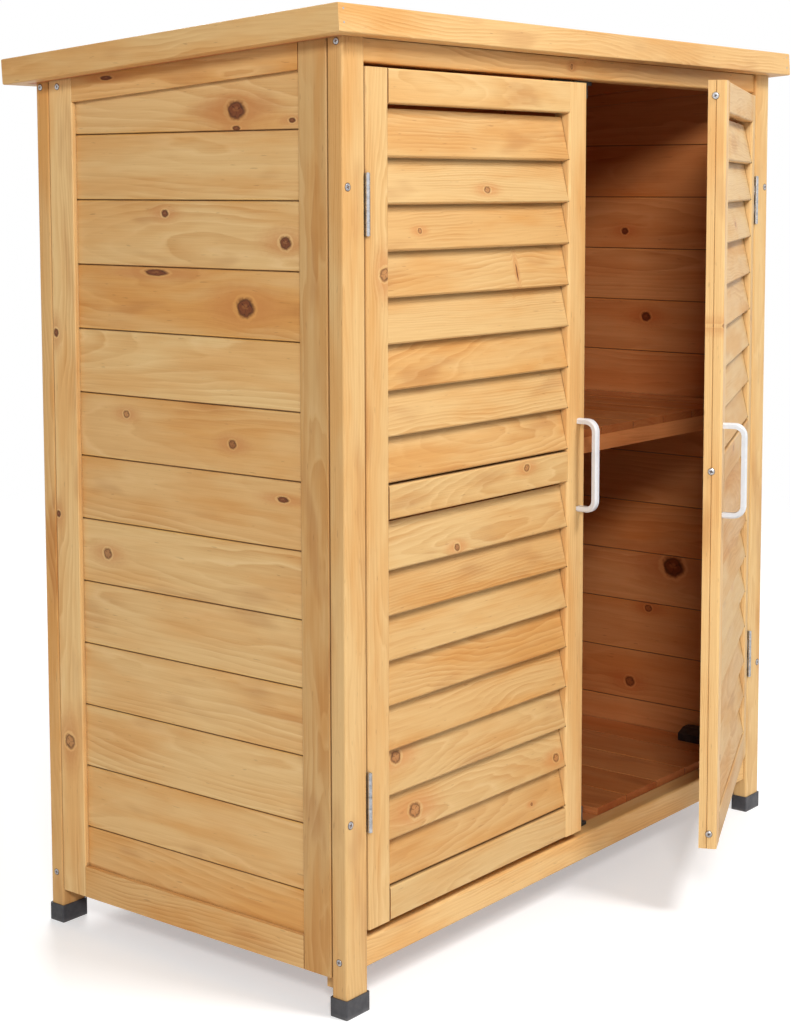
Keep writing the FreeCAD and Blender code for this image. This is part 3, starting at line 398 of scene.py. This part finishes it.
# Painted shade for the dark ring round a head and for the inside of its cross
painted_recess_shade = plain_finish("painted_recess_shade", 0.5, (0.20, 0.085, 0.03), (0.07, 0.028, 0.012), 900.0,
                        gloss=(0.5, 0.7))

# Each profile goes inward from the ring of painted shade, as shares of the head's radius and rise
flat_head = ((1.22, 0.02), (1.0, 0.03), (1.0, 0.55), (0.95, 0.86), (0.86, 1.0), (0.68, 1.0))
pan_head = ((1.10, 0.01), (1.0, 0.02), (1.0, 0.42), (0.94, 0.70), (0.84, 0.90), (0.68, 1.0))
cross_reach, cross_half_width, cross_depth, cross_taper = 0.56, 0.13, 0.9, 0.8
head_sides = 24
first_turn, next_turn = 0.35, 0.8


def head_ring(shape, lie, outline, size, height):
    """One ring of a head's corners."""
    return [shape.verts.new(lie @ Vector((x * size, y * size, height))) for x, y in outline]


def cut_cross(shape, lie, size, rise, top):
    """A cross cut into the middle of a head, inside its top ring. Its sides and floor get painted shade."""
    corners = ((cross_reach, -cross_half_width), (cross_reach, cross_half_width),
               (cross_half_width, cross_half_width))
    quarters = [(math.cos(q * math.pi / 2), math.sin(q * math.pi / 2)) for q in range(4)]
    outline = [(x * c - y * s, x * s + y * c) for c, s in quarters for x, y in corners]
    narrow = [(cross_taper * x, cross_taper * y) for x, y in outline]
    rim = head_ring(shape, lie, outline, size, rise)
    foot = head_ring(shape, lie, narrow, size, (1.0 - cross_depth) * rise)
    edges = [shape.edges.new((rim[i], rim[(i + 1) % len(rim)])) for i in range(len(rim))]
    edges += [shape.edges.get((top[i], top[(i + 1) % head_sides])) for i in range(head_sides)]
    bmesh.ops.triangle_fill(shape, edges=edges, use_beauty=True)
    # The sides and floor of the cross get painted shade
    for i in range(len(rim)):
        after = (i + 1) % len(rim)
        shape.faces.new((rim[i], rim[after], foot[after], foot[i])).material_index = 1
    shape.faces.new(foot).material_index = 1


def round_heads(name, places, faces, body, size=3.0 * MM, rise=0.5 * MM, profile=flat_head, cross=True):
    """Heads of screws or nails at the places, all looking one way. size is a head's radius, and cross
    says whether it has a cross cut in it."""
    shape = bmesh.new()
    upright = Vector(faces).normalized().to_track_quat("Z", "Y").to_matrix().to_4x4()
    angles = [2 * math.pi * step / head_sides for step in range(head_sides)]
    for number, place in enumerate(places):
        turn = Matrix.Rotation(first_turn + next_turn * number, 4, "Z")
        lie = Matrix.Translation(Vector(place)) @ upright @ turn
        rows = [head_ring(shape, lie, [(reach * math.cos(a), reach * math.sin(a)) for a in angles], size,
                          height * rise) for reach, height in profile]
        # The outer ring of each head gets painted shade
        for ring, (wide, thin) in enumerate(zip(rows, rows[1:])):
            for step in range(head_sides):
                after = (step + 1) % head_sides
                face = shape.faces.new((wide[step], wide[after], thin[after], thin[step]))
                face.material_index = 1 if ring == 0 else 0
        if cross:
            cut_cross(shape, lie, size, rise, rows[-1])
        else:
            shape.faces.new(rows[-1])
    bmesh.ops.recalc_face_normals(shape, faces=shape.faces)
    mesh = bpy.data.meshes.new(name)
    shape.to_mesh(mesh)
    shape.free()
    mesh.materials.append(zinc)
    mesh.materials.append(painted_recess_shade)
    piece = bpy.data.objects.new(name, mesh)
    bpy.context.scene.collection.objects.link(piece)
    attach(piece, body)


post_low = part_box("front_left_post")[0]
post_screw_heights = (802.7 * MM, 192.0 * MM)
post_screw_inset = 7.0 * MM
front_screws = [(side * (post_low.x + post_screw_inset), post_low.y, height) for side in (1, -1)
                for height in post_screw_heights]
round_heads("front_post_screws", front_screws, (0, -1, 0), "cabinet", 3.5 * MM)

# The depth and the height of each screw in the side of the cabinet, in millimetres
side_screws = ((-206.0, 937.0), (-204.0, 55.2), (206.5, 907.6), (204.7, 54.8), (180.0, 907.5))
for way, side in ((-1, "left"), (1, "right")):
    places = [(-way * post_low.x, depth * MM, height * MM) for depth, height in side_screws]
    round_heads(f"{side}_side_screws", places, (way, 0, 0), "cabinet")


# Foot caps. A cup of dark grey plastic is pushed on to the foot of each post to keep it off wet
# ground. It is moulded with a fine satin skin, and dust clings to its lower edge.

cap_dust_colour = (0.22, 0.21, 0.20)
cap_dust_height = 5 * MM
cap_plastic = plain_finish("cap_plastic", 0.6, (0.064, 0.064, 0.071), (0.043, 0.043, 0.050), 90.0, 1500.0,
                           gloss=(0.34, 0.50), relief=0.2)
cap_tree = cap_plastic.node_tree
cap_shader = cap_tree.nodes["Principled BSDF"]
cap_place = add(cap_tree, "ShaderNodeTexCoord").outputs["Object"]
cap_rise = add(cap_tree, "ShaderNodeSeparateXYZ", {"Vector": cap_place}).outputs["Z"]
cap_dust = work(cap_tree, "MULTIPLY", ramp(cap_tree, cap_rise, 0.0, cap_dust_height, 0.6, 0.0),
                noise(cap_tree, cap_place, (300.0, 300.0, 300.0)))
cap_colour = cap_shader.inputs["Base Color"].links[0].from_socket
dusty = blend_colour(cap_tree, cap_dust, cap_colour, cap_dust_colour)
feed(cap_tree, cap_shader.inputs["Base Color"], dusty)
for corner in ("front_left", "front_right", "back_left", "back_right"):
    dress(f"{corner}_foot_cap", cap_plastic)


# Header and rails. Planed fir rails join the posts: a header and a bottom rail set back a little
# from the front of the posts, and two rails between the back posts.

oil_fir("front_header", "X", "Y", 21, knots=[(-26.7, 932.1, 2.6, 0.8, 1.0)], warm=0.2, tone=1.12)
oil_fir("front_bottom_rail", "X", "Y", 23, warm=0.05)
oil_fir("back_rails", "X", "Y", 25, warm=0.1)
oil_fir("front_corner_blocks", "Z", "Y", 28, warm=0.2)


# Side walls. Each is a frame of two stiles and two rails that holds thirteen tongued boards, laid
# in from the inside with the grain along the wall. The boards come from many logs, so they differ
# in tone, and several show brown knots.

board_cover = 67.5 * MM
board_year = 4.2 * MM
board_cut = 60.0 * MM
first_course = 47.3 * MM
wood_of_wall = {"year": board_year, "cut": board_cut, "boards": ("Z", first_course, board_cover),
                "joints": 0.85}
back_stile_knots = [(649, 188.5, 3.2, 1.3, 0.0), (454.1, 190, 2.8, 1.2, 0.0), (206.1, 178.7, 6.5, 1.1, 1.0)]
# The faces of the walls that look into the cabinet get painted shade
oil_fir("left_front_stile", "Z", "X", 31, warm=0.2, tone=0.83, inside="+X")
oil_fir("left_back_stile", "Z", "X", 34, knots=back_stile_knots, tone=1.1, inside="+X")
oil_fir("left_top_rail", "Y", "X", 36, warm=0.4, knots=[(105.0, 914.0, 2.0, 4.0, 0.0)], inside="+X")
oil_fir("left_bottom_rail", "Y", "X", 38, warm=0.1)
left_knots = [(-72.8, 877.3, 8.0, 1.35, 0.0), (-72.8, 866.0, 3.0, 1.6, 0.0), (-146.0, 866.0, 2.2, 1.8, 0.0),
              (27.5, 776.4, 3.4, 1.3, 0.0), (-136.1, 749.5, 5.6, 1.2, 0.0), (-82.5, 685.3, 8.6, 1.25, 0.0),
              (41.4, 716.6, 3.0, 5.0, 0.0), (88.3, 568.4, 3.4, 1.2, 1.0), (-63.2, 549.2, 4.0, 1.2, 0.4),
              (-130.3, 500.5, 2.6, 2.6, 0.0), (120.1, 418.1, 5.0, 1.1, 0.7)]
oil_fir("left_side_boards", "Y", "X", 1452, knots=left_knots, warm=0.12, inside="+X", **wood_of_wall)
oil_fir("right_front_stile", "Z", "X", 61, inside="-X")
oil_fir("right_back_stile", "Z", "X", 63, inside="-X")
oil_fir("right_top_rail", "Y", "X", 65, warm=0.15, inside="-X")
oil_fir("right_bottom_rail", "Y", "X", 67)
right_knots = [(-11.2, 744.8, 4.0, 1.2, 0.0), (-45.2, 632.7, 5.4, 1.2, 0.0), (-91.1, 303.0, 12.0, 1.2, 0.0),
               (-53.4, 242.4, 4.2, 1.2, 0.8), (-25.3, 138.3, 6.0, 1.1, 0.5)]
oil_fir("right_side_boards", "Y", "X", 70, knots=right_knots, inside="-X", **wood_of_wall)


# Back wall. Thirteen more of the same tongued boards run across the back, nailed to the back
# posts and rails.

back_knots = [(-210, 620, 6.0, 1.3, 0.0), (120, 350, 7.0, 1.3, 0.0), (260, 760, 5.0, 1.3, 0.5),
              (-60, 148, 5.0, 1.3, 0.0)]
# The inner face of the back wall gets painted shade
oil_fir("back_boards", "X", "Y", 90, knots=back_knots, inside="-Y", **wood_of_wall)


# Floor and shelf. Both are decks of tongued boards that run from front to back on battens, with
# their sawn ends to the front.

# The decks inside the cabinet get painted shade all over
wood_of_deck = {"year": board_year, "cut": board_cut, "boards": ("X", -6 * board_cover, board_cover),
                "joints": 0.8, "inside": "all"}
shelf_knots = [(60, 210, 6.0, 1.5, 0.0), (-60, 150, 3.0, 3.0, 0.0)]
oil_fir("floor_boards", "Y", "Z", 110, knots=[(60.0, 250.0, 5.0, 1.5, 0.0)], **wood_of_deck)
oil_fir("shelf_boards", "Y", "Z", 130, knots=shelf_knots, **wood_of_deck)
oil_fir("floor_battens", "X", "Y", 125, inside="all")
oil_fir("shelf_bearers", "X", "Y", 148, inside="all", tone=1.1)


# Roof. Fir fascias with rounded edges stand round a deck of boards on rafters, and slope down to
# the back. Mineral felt covers the deck between them. Pins hold the mitres, and clout nails with
# wide heads hold the felt.

# These part the two side fascias and the three rafters, so that each has its own figure
each_fascia = ("X", -0.5, 0.5)
each_rafter = ("X", -0.5, 0.4)
roof_courses = ("Y", -211.5 * MM, 67.3 * MM)
oil_fir("roof_front_fascia", "X", "Y", 151)
oil_fir("roof_back_fascia", "X", "Y", 153)
oil_fir("roof_side_fascias", "Y", "Z", 155, boards=each_fascia, warm=0.1)
# The rafters and the deck under the felt get painted shade all over
oil_fir("roof_rafters", "Y", "Z", 158, boards=each_rafter, inside="all")
oil_fir("roof_boards", "X", "Z", 160, boards=roof_courses, year=board_year, cut=board_cut, inside="all")

felt_grits_in_metre = 700.0
felt = plain_finish("felt_grit", 0.6, (0.064, 0.065, 0.068), (0.115, 0.113, 0.108), 24.0,
                    gloss=(0.82, 0.95))
felt_tree = felt.node_tree
felt_shader = felt_tree.nodes["Principled BSDF"]
felt_place = add(felt_tree, "ShaderNodeTexCoord").outputs["Object"]
felt_grit = add(felt_tree, "ShaderNodeTexVoronoi", {"Vector": felt_place, "Scale": felt_grits_in_metre})
felt_colour = felt_shader.inputs["Base Color"].links[0].from_socket
felt_tone = blend_colour(felt_tree, 0.6, felt_colour, felt_grit.outputs["Color"], "SOFT_LIGHT")
feed(felt_tree, felt_shader.inputs["Base Color"], felt_tone)
felt_relief = {"Strength": 0.7, "Distance": 0.8 * MM, "Height": felt_grit.outputs["Distance"]}
felt_bump = add(felt_tree, "ShaderNodeBump", felt_relief)
feed(felt_tree, felt_shader.inputs["Normal"], felt_bump.outputs[0])
dress("roof_felt", felt)

roof_slope = math.radians(4.0)
fascia_height = 27.0 * MM
roof_low, roof_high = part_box("roof_side_fascias")
front_edge = Vector((0, roof_low.y, roof_high.z - fascia_height * math.cos(roof_slope)))
roof_back = Vector((0, math.cos(roof_slope), -math.sin(roof_slope)))
roof_up = Vector((0, math.sin(roof_slope), math.cos(roof_slope)))


def on_roof(x, back, up):
    """A place on the lid, from its front bottom edge."""
    return front_edge + Vector((x, 0, 0)) + roof_back * back + roof_up * up


roof_run = (roof_high.y - roof_low.y) / math.cos(roof_slope) - fascia_height * math.tan(roof_slope)
pin_from_end = 7.5 * MM
pin_rises = (9.0 * MM, 21.7 * MM)
pin_size = 1.1 * MM
pin_rise = 0.15 * MM
mitre_pins = [(side * (roof_high.x - pin_from_end), up) for side in (-1, 1) for up in pin_rises]
for name, back, way in (("front_fascia_pins", 0, -1), ("back_fascia_pins", roof_run, 1)):
    places = [on_roof(x, back, up) for x, up in mitre_pins]
    round_heads(name, places, way * roof_back, "cabinet", pin_size, pin_rise, cross=False)
clout_inset = 32.0 * MM
clout_size = 4.5 * MM
clout_columns = [(roof_high.x - clout_inset) * step / 4 for step in range(-4, 5)]
clout_rows = [clout_inset + (roof_run - 2 * clout_inset) * step / 4 for step in range(5)]
clouts = [on_roof(x, back, fascia_height) for x in clout_columns for back in clout_rows
          if x in (clout_columns[0], clout_columns[-1]) or back in (clout_rows[0], clout_rows[-1])]
round_heads("felt_clouts", clouts, roof_up, "cabinet", clout_size, cross=False)


# Doors. Each is a louvred frame: two stiles, three rails between them, and sixteen slats let into
# slanted mortises in the stiles. The right door stands open at rest, so its grain is laid out as
# it is with the door shut, and turned with it.

hinges = {joint["name"]: joint for joint in frame["record"]["behaviour"]["joints"]}
right_hinge = hinges["right_door_hinge"]
right_pin = Vector(right_hinge["pos_m"])
right_door_angle = math.radians(-right_hinge["range_deg"][0])


def shut_box(side, piece):
    """A door piece's corners with the door shut. The right door is the left one's mirror image."""
    low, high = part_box(f"left_door_{piece}")
    if side == "right":
        low.x, high.x = -high.x, -low.x
    return low, high


slat_knots = {
    "left_upper": [(-290, 760, 2.4, 1.2, 1.0), (-126.1, 713.7, 8.0, 0.12, 0.0), (-180, 800, 3.0, 1.6, 1.0)],
    "left_lower": [(-232.5, 437.2, 3.2, 1.2, 0.6), (-299.0, 179.0, 6.2, 1.3, 1.0),
                   (-49.5, 173.3, 4.0, 1.2, 1.0), (-325.3, 239.3, 5.4, 1.3, 0.8),
                   (-95.0, 132.0, 1.6, 1.2, 0.5)],
    "right_upper": [(180.0, 760.0, 3.0, 1.2, 0.8)],
    "right_lower": [(230.0, 330.0, 3.4, 1.2, 0.8)]}
hinge_stile_knots = {"left": [(719.4, -350.2, 6.5, 0.9, 1.0)], "right": [(640.0, 355.0, 3.0, 1.2, 0.5)]}
free_stile_knots = {"left": [], "right": [(174.7, 30.0, 2.6, 1.3, 0.3), (655.0, 6.0, 3.0, 0.8, 1.0)]}
mid_rail_knots = {"left": [(-113.3, 505.3, 3.4, 1.3, 1.0)], "right": [(140.0, 505.3, 3.0, 1.3, 1.0)]}
slats_in_field = 8
slat_rise, slat_back_drop = 47.29 * MM, 1.4 * MM
for side, turn, board in (("left", None, 200), ("right", (right_pin, -right_door_angle), 260)):
    # The door's rails grow darker from top to bottom: painted shade, as less light falls low on the door
    for piece, along, number, warm, tone, knots in (
            ("hinge_stile", "Z", 1, -0.2, 0.95, hinge_stile_knots[side]),
            ("free_stile", "Z", 3, -0.3, 1.03, free_stile_knots[side]),
            ("top_rail", "X", 5, -0.1, 0.95, ()),
            ("mid_rail", "X", 7, 0.0, 0.88, mid_rail_knots[side]),
            ("bottom_rail", "X", 9, 0.15, 0.85, ())):
        oil_fir(f"{side}_door_{piece}", along, "Y", board + number, knots=knots, warm=warm, tone=tone,
                door=turn, box=shut_box(side, piece))
    # The lower field of slats is darker than the upper one: painted shade
    for field, number, warm, tone in (("upper", 12, 0.02, 0.89), ("lower", 30, 0.10, 0.84)):
        low, high = shut_box(side, f"{field}_slats")
        slat_pitch = (high.z - low.z - slat_rise) / (slats_in_field - 1)
        slat_courses = ("Z", low.z + slat_back_drop, slat_pitch)
        oil_fir(f"{side}_door_{field}_slats", "X", "Y", board + number, boards=slat_courses,
                knots=slat_knots[f"{side}_{field}"], warm=warm, tone=tone, door=turn, box=(low, high))


# Screws join the door rails to the stiles. They are driven in from both edges of the door: pan
# heads stand proud on the free edge, and flat ones lie in the hinge edge.

open_door = Matrix.Translation(right_pin) @ Matrix.Rotation(right_door_angle, 4, "Z")
open_door = open_door @ Matrix.Translation(-right_pin)
shut_door = Matrix.Identity(4)


def on_door(side, places, way):
    """Places on a shut door, and the way they look, where the door stands at rest."""
    swing = open_door if side == "right" else shut_door
    return [swing @ Vector(place) for place in places], swing.to_3x3() @ Vector(way)


edge_screw_depth = 11.0 * MM
pan_size, pan_rise = 3.7 * MM, 1.8 * MM
# The screws in the right door's free edge sit a little off their line
drift = {"left": (0.0, 0.0, 0.0), "right": (0.8 * MM, 0.0, -2.5 * MM)}
for side, sign in (("left", 1), ("right", -1)):
    stile_low, stile_high = shut_box(side, "free_stile")
    free_edge = stile_high.x if side == "left" else stile_low.x
    hinge_low, hinge_high = shut_box(side, "hinge_stile")
    hinge_edge = hinge_low.x if side == "left" else hinge_high.x
    rails = [shut_box(side, rail) for rail in ("top_rail", "mid_rail", "bottom_rail")]
    heights = [(low.z + high.z) / 2 for low, high in rails]
    depths = [stile_low.y + edge_screw_depth + step for step in drift[side]]
    rows = list(zip(depths, heights))
    places, way = on_door(side, [(free_edge, depth, height) for depth, height in rows], (sign, 0, 0))
    round_heads(f"{side}_door_free_edge_screws", places, way, f"{side}_door", pan_size, pan_rise, pan_head)
    places, way = on_door(side, [(hinge_edge, depth, height) for depth, height in rows], (-sign, 0, 0))
    round_heads(f"{side}_door_hinge_edge_screws", places, way, f"{side}_door")


# Handles. A bow of white moulded plastic with bevelled edges is screwed to each free stile from
# behind.

handle_plastic = plain_finish("handle_plastic", 0.5, (0.74, 0.75, 0.77), (0.68, 0.69, 0.71), 60.0, 2200.0,
                              gloss=(0.26, 0.36), relief=0.08)
handle_foot = 9.0 * MM
handle_screw = 3.4 * MM
for side in ("left", "right"):
    dress(f"{side}_door_handle", handle_plastic)
    bow_low, bow_high = shut_box(side, "handle")
    stile_back = shut_box(side, "free_stile")[1].y
    bow_middle = (bow_low.x + bow_high.x) / 2
    heights = (bow_low.z + handle_foot, bow_high.z - handle_foot)
    places, way = on_door(side, [(bow_middle, stile_back, height) for height in heights], (0, 1, 0))
    round_heads(f"{side}_handle_screws", places, way, f"{side}_door", handle_screw)


# Hinges. Folded zinc plated steel leaves are let in between the door edge and the post, and turn
# on a steel pin through five knuckles. Three flat screws hold each leaf.

for node in ("left_hinge_door_leaves", "right_hinge_door_leaves", "hinge_post_leaves", "hinge_pins"):
    dress(node, zinc)
small_screw = 2.6 * MM
leaf_screw_rise = 0.12 * MM
leaf_height = 59.0 * MM
leaf_screw_steps = (9.0 * MM, 29.5 * MM, 50.0 * MM)
leaf_screw_inset = 7.5 * MM
leaf_fit = 0.15 * MM
leaf_low, leaf_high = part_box("hinge_post_leaves")
leaf_screw_depth = leaf_high.y - leaf_screw_inset
leaf_feet = (leaf_low.z, leaf_high.z - leaf_height)
leaf_heights = [foot + step for foot in leaf_feet for step in leaf_screw_steps]
for side, sign in (("left", 1), ("right", -1)):
    door_face, post_face = (-sign * (right_pin.x + fit) for fit in (-leaf_fit, leaf_fit))
    on_leaf = [(door_face, leaf_screw_depth, height) for height in leaf_heights]
    places, way = on_door(side, on_leaf, (-sign, 0, 0))
    round_heads(f"{side}_door_leaf_screws", places, way, f"{side}_door", small_screw, leaf_screw_rise)
    places = [(post_face, leaf_screw_depth, height) for height in leaf_heights]
    round_heads(f"{side}_post_leaf_screws", places, (sign, 0, 0), "cabinet", small_screw, leaf_screw_rise)


# Catches and brackets. Black moulded catches with magnets sit behind the header and the bottom
# rail, and hold the zinc strike plates of the doors. Black brackets tie the floor to the walls.

black_plastic = plain_finish("black_plastic", 0.5, (0.030, 0.029, 0.029), (0.012, 0.012, 0.013), 120.0,
                             1800.0, gloss=(0.35, 0.5))
dress("magnetic_catches", black_plastic)
dress("floor_brackets", black_plastic)
strike_height = 14.0 * MM
for side in ("left", "right"):
    dress(f"{side}_door_strikes", zinc)
    strike_low, strike_high = shut_box(side, "strikes")
    strike_middle = (strike_low.x + strike_high.x) / 2
    heights = (strike_low.z + strike_height / 2, strike_high.z - strike_height / 2)
    places, way = on_door(side, [(strike_middle, strike_high.y, height) for height in heights], (0, 1, 0))
    round_heads(f"{side}_strike_screws", places, way, f"{side}_door", small_screw, leaf_screw_rise)
ear_middle = 4.0 * MM
ear_height = 4.3 * MM
ear_screw_rise = 0.8 * MM
catch_low, catch_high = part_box("magnetic_catches")
header_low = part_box("front_header")[0]
catch_middle = (catch_low.y + catch_high.y) / 2
catch_ends = [sign * (catch_high.x - ear_middle) for sign in (-1, 1)]
for name, height, way in (("lower_catch_screws", catch_low.z + ear_height, (0, 0, 1)),
                          ("upper_catch_screws", header_low.z - ear_height, (0, 0, -1))):
    places = [(x, catch_middle, height) for x in catch_ends]
    round_heads(name, places, way, "cabinet", small_screw, ear_screw_rise)


# The ground is a plain pale sheet that fades out round the cabinet. It looks white where no shadow
# falls on it. A soft lamp stands high in front of the doors, one looks in from the left front, and
# a broad one stands behind.

ground_reach = 3.2
ground_fade = (1.5, 2.9)
ground_corners = [(-ground_reach, -ground_reach, 0), (ground_reach, -ground_reach, 0),
                  (ground_reach, ground_reach, 0), (-ground_reach, ground_reach, 0)]
ground_mesh = bpy.data.meshes.new("ground")
ground_mesh.from_pydata(ground_corners, [], [(0, 1, 2, 3)])
ground = bpy.data.objects.new("ground", ground_mesh)
bpy.context.scene.collection.objects.link(ground)
white = (1.0, 1.0, 1.0)
paper_lit, paper_shown, paper_glow = (0.80, 0.80, 0.80), (0.75, 0.75, 0.75), 0.40
paper = bpy.data.materials.new("pale_paper")
paper.use_nodes = True
paper_tree = paper.node_tree
paper_shader = paper_tree.nodes["Principled BSDF"]
paper_seen = add(paper_tree, "ShaderNodeLightPath").outputs["Is Camera Ray"]
paper_colour = blend_colour(paper_tree, paper_seen, paper_lit, paper_shown)
feed(paper_tree, paper_shader.inputs["Base Color"], paper_colour)
feed(paper_tree, paper_shader.inputs["Emission Color"], white)
glow = work(paper_tree, "MULTIPLY", paper_seen, paper_glow)
feed(paper_tree, paper_shader.inputs["Emission Strength"], glow)
paper_shader.inputs["Roughness"].default_value = 0.6
paper_place = add(paper_tree, "ShaderNodeTexCoord").outputs["Object"]
paper_away = work_on_place(paper_tree, "LENGTH", paper_place, gives="Value")
paper_far = ramp(paper_tree, paper_away, *ground_fade)
clear_sheet = add(paper_tree, "ShaderNodeBsdfTransparent").outputs[0]
fading = {0: paper_far, 1: paper_shader.outputs[0], 2: clear_sheet}
faded = add(paper_tree, "ShaderNodeMixShader", fading).outputs[0]
paper_tree.links.new(faded, paper_tree.nodes["Material Output"].inputs["Surface"])
ground_mesh.materials.append(paper)

room_light, room_shown = 0.25, 1.0
world = bpy.data.worlds.new("white_room")
bpy.context.scene.world = world
world.use_nodes = True
world_tree = world.node_tree
ray = add(world_tree, "ShaderNodeLightPath").outputs
reflected = work(world_tree, "MAXIMUM", ray["Is Glossy Ray"], ray["Is Transmission Ray"])
seen = work(world_tree, "MAXIMUM", ray["Is Camera Ray"], reflected)
sky = world_tree.nodes["Background"]
feed(world_tree, sky.inputs["Color"], white)
world_tree.links.new(ramp(world_tree, seen, 0.0, 1.0, room_light, room_shown), sky.inputs["Strength"])

for name, place, target, size, power in (
        ("key_lamp", (0.25, -2.3, 3.1), (0.1, -0.1, 0.6), 0.7, 74.0),
        ("side_lamp", (-2.5, -2.15, 2.0), (0.0, 0.0, 0.5), 0.6, 62.0),
        ("back_lamp", (2.2, 2.6, 2.2), (0.0, 0.0, 0.5), 1.2, 55.0)):
    lamp = bpy.data.objects.new(name, bpy.data.lights.new(name, "AREA"))
    lamp.data.size = size
    lamp.data.energy = power
    lamp.location = place
    lamp.rotation_mode = "QUATERNION"
    lamp.rotation_quaternion = (Vector(target) - Vector(place)).to_track_quat("-Z", "Y")
    bpy.context.scene.collection.objects.link(lamp)


# The camera stands at the left front, a little lower than the cabinet's roof, and looks slightly
# down. Its focal length and the middle of its view are in pixels of the photograph.

photo_width, photo_height, focal = 791, 1024, 1920.83
middle_across, middle_down = 437.93, 371.95
yaw, pitch, roll = 0.91055, 0.09585, -0.00027
camera_place = (-1.77109, -1.38091, 0.80255)
sensor = 36.0
ahead = Vector((math.sin(yaw) * math.cos(pitch), math.cos(yaw) * math.cos(pitch), -math.sin(pitch)))
level = Vector((math.cos(yaw), -math.sin(yaw), 0.0))
upright = level.cross(ahead)
right = level * math.cos(roll) + upright * math.sin(roll)
up = upright * math.cos(roll) - level * math.sin(roll)
camera = bpy.data.objects.new("camera", bpy.data.cameras.new("camera"))
camera.data.lens = focal * sensor / photo_height
camera.data.shift_x = (photo_width / 2 - middle_across) / photo_height
camera.data.shift_y = (middle_down - photo_height / 2) / photo_height
camera.matrix_world = Matrix((right, up, -ahead)).transposed().to_4x4()
camera.location = camera_place
bpy.context.scene.collection.objects.link(camera)
bpy.context.scene.camera = camera
bpy.context.scene.view_settings.view_transform = "Standard"
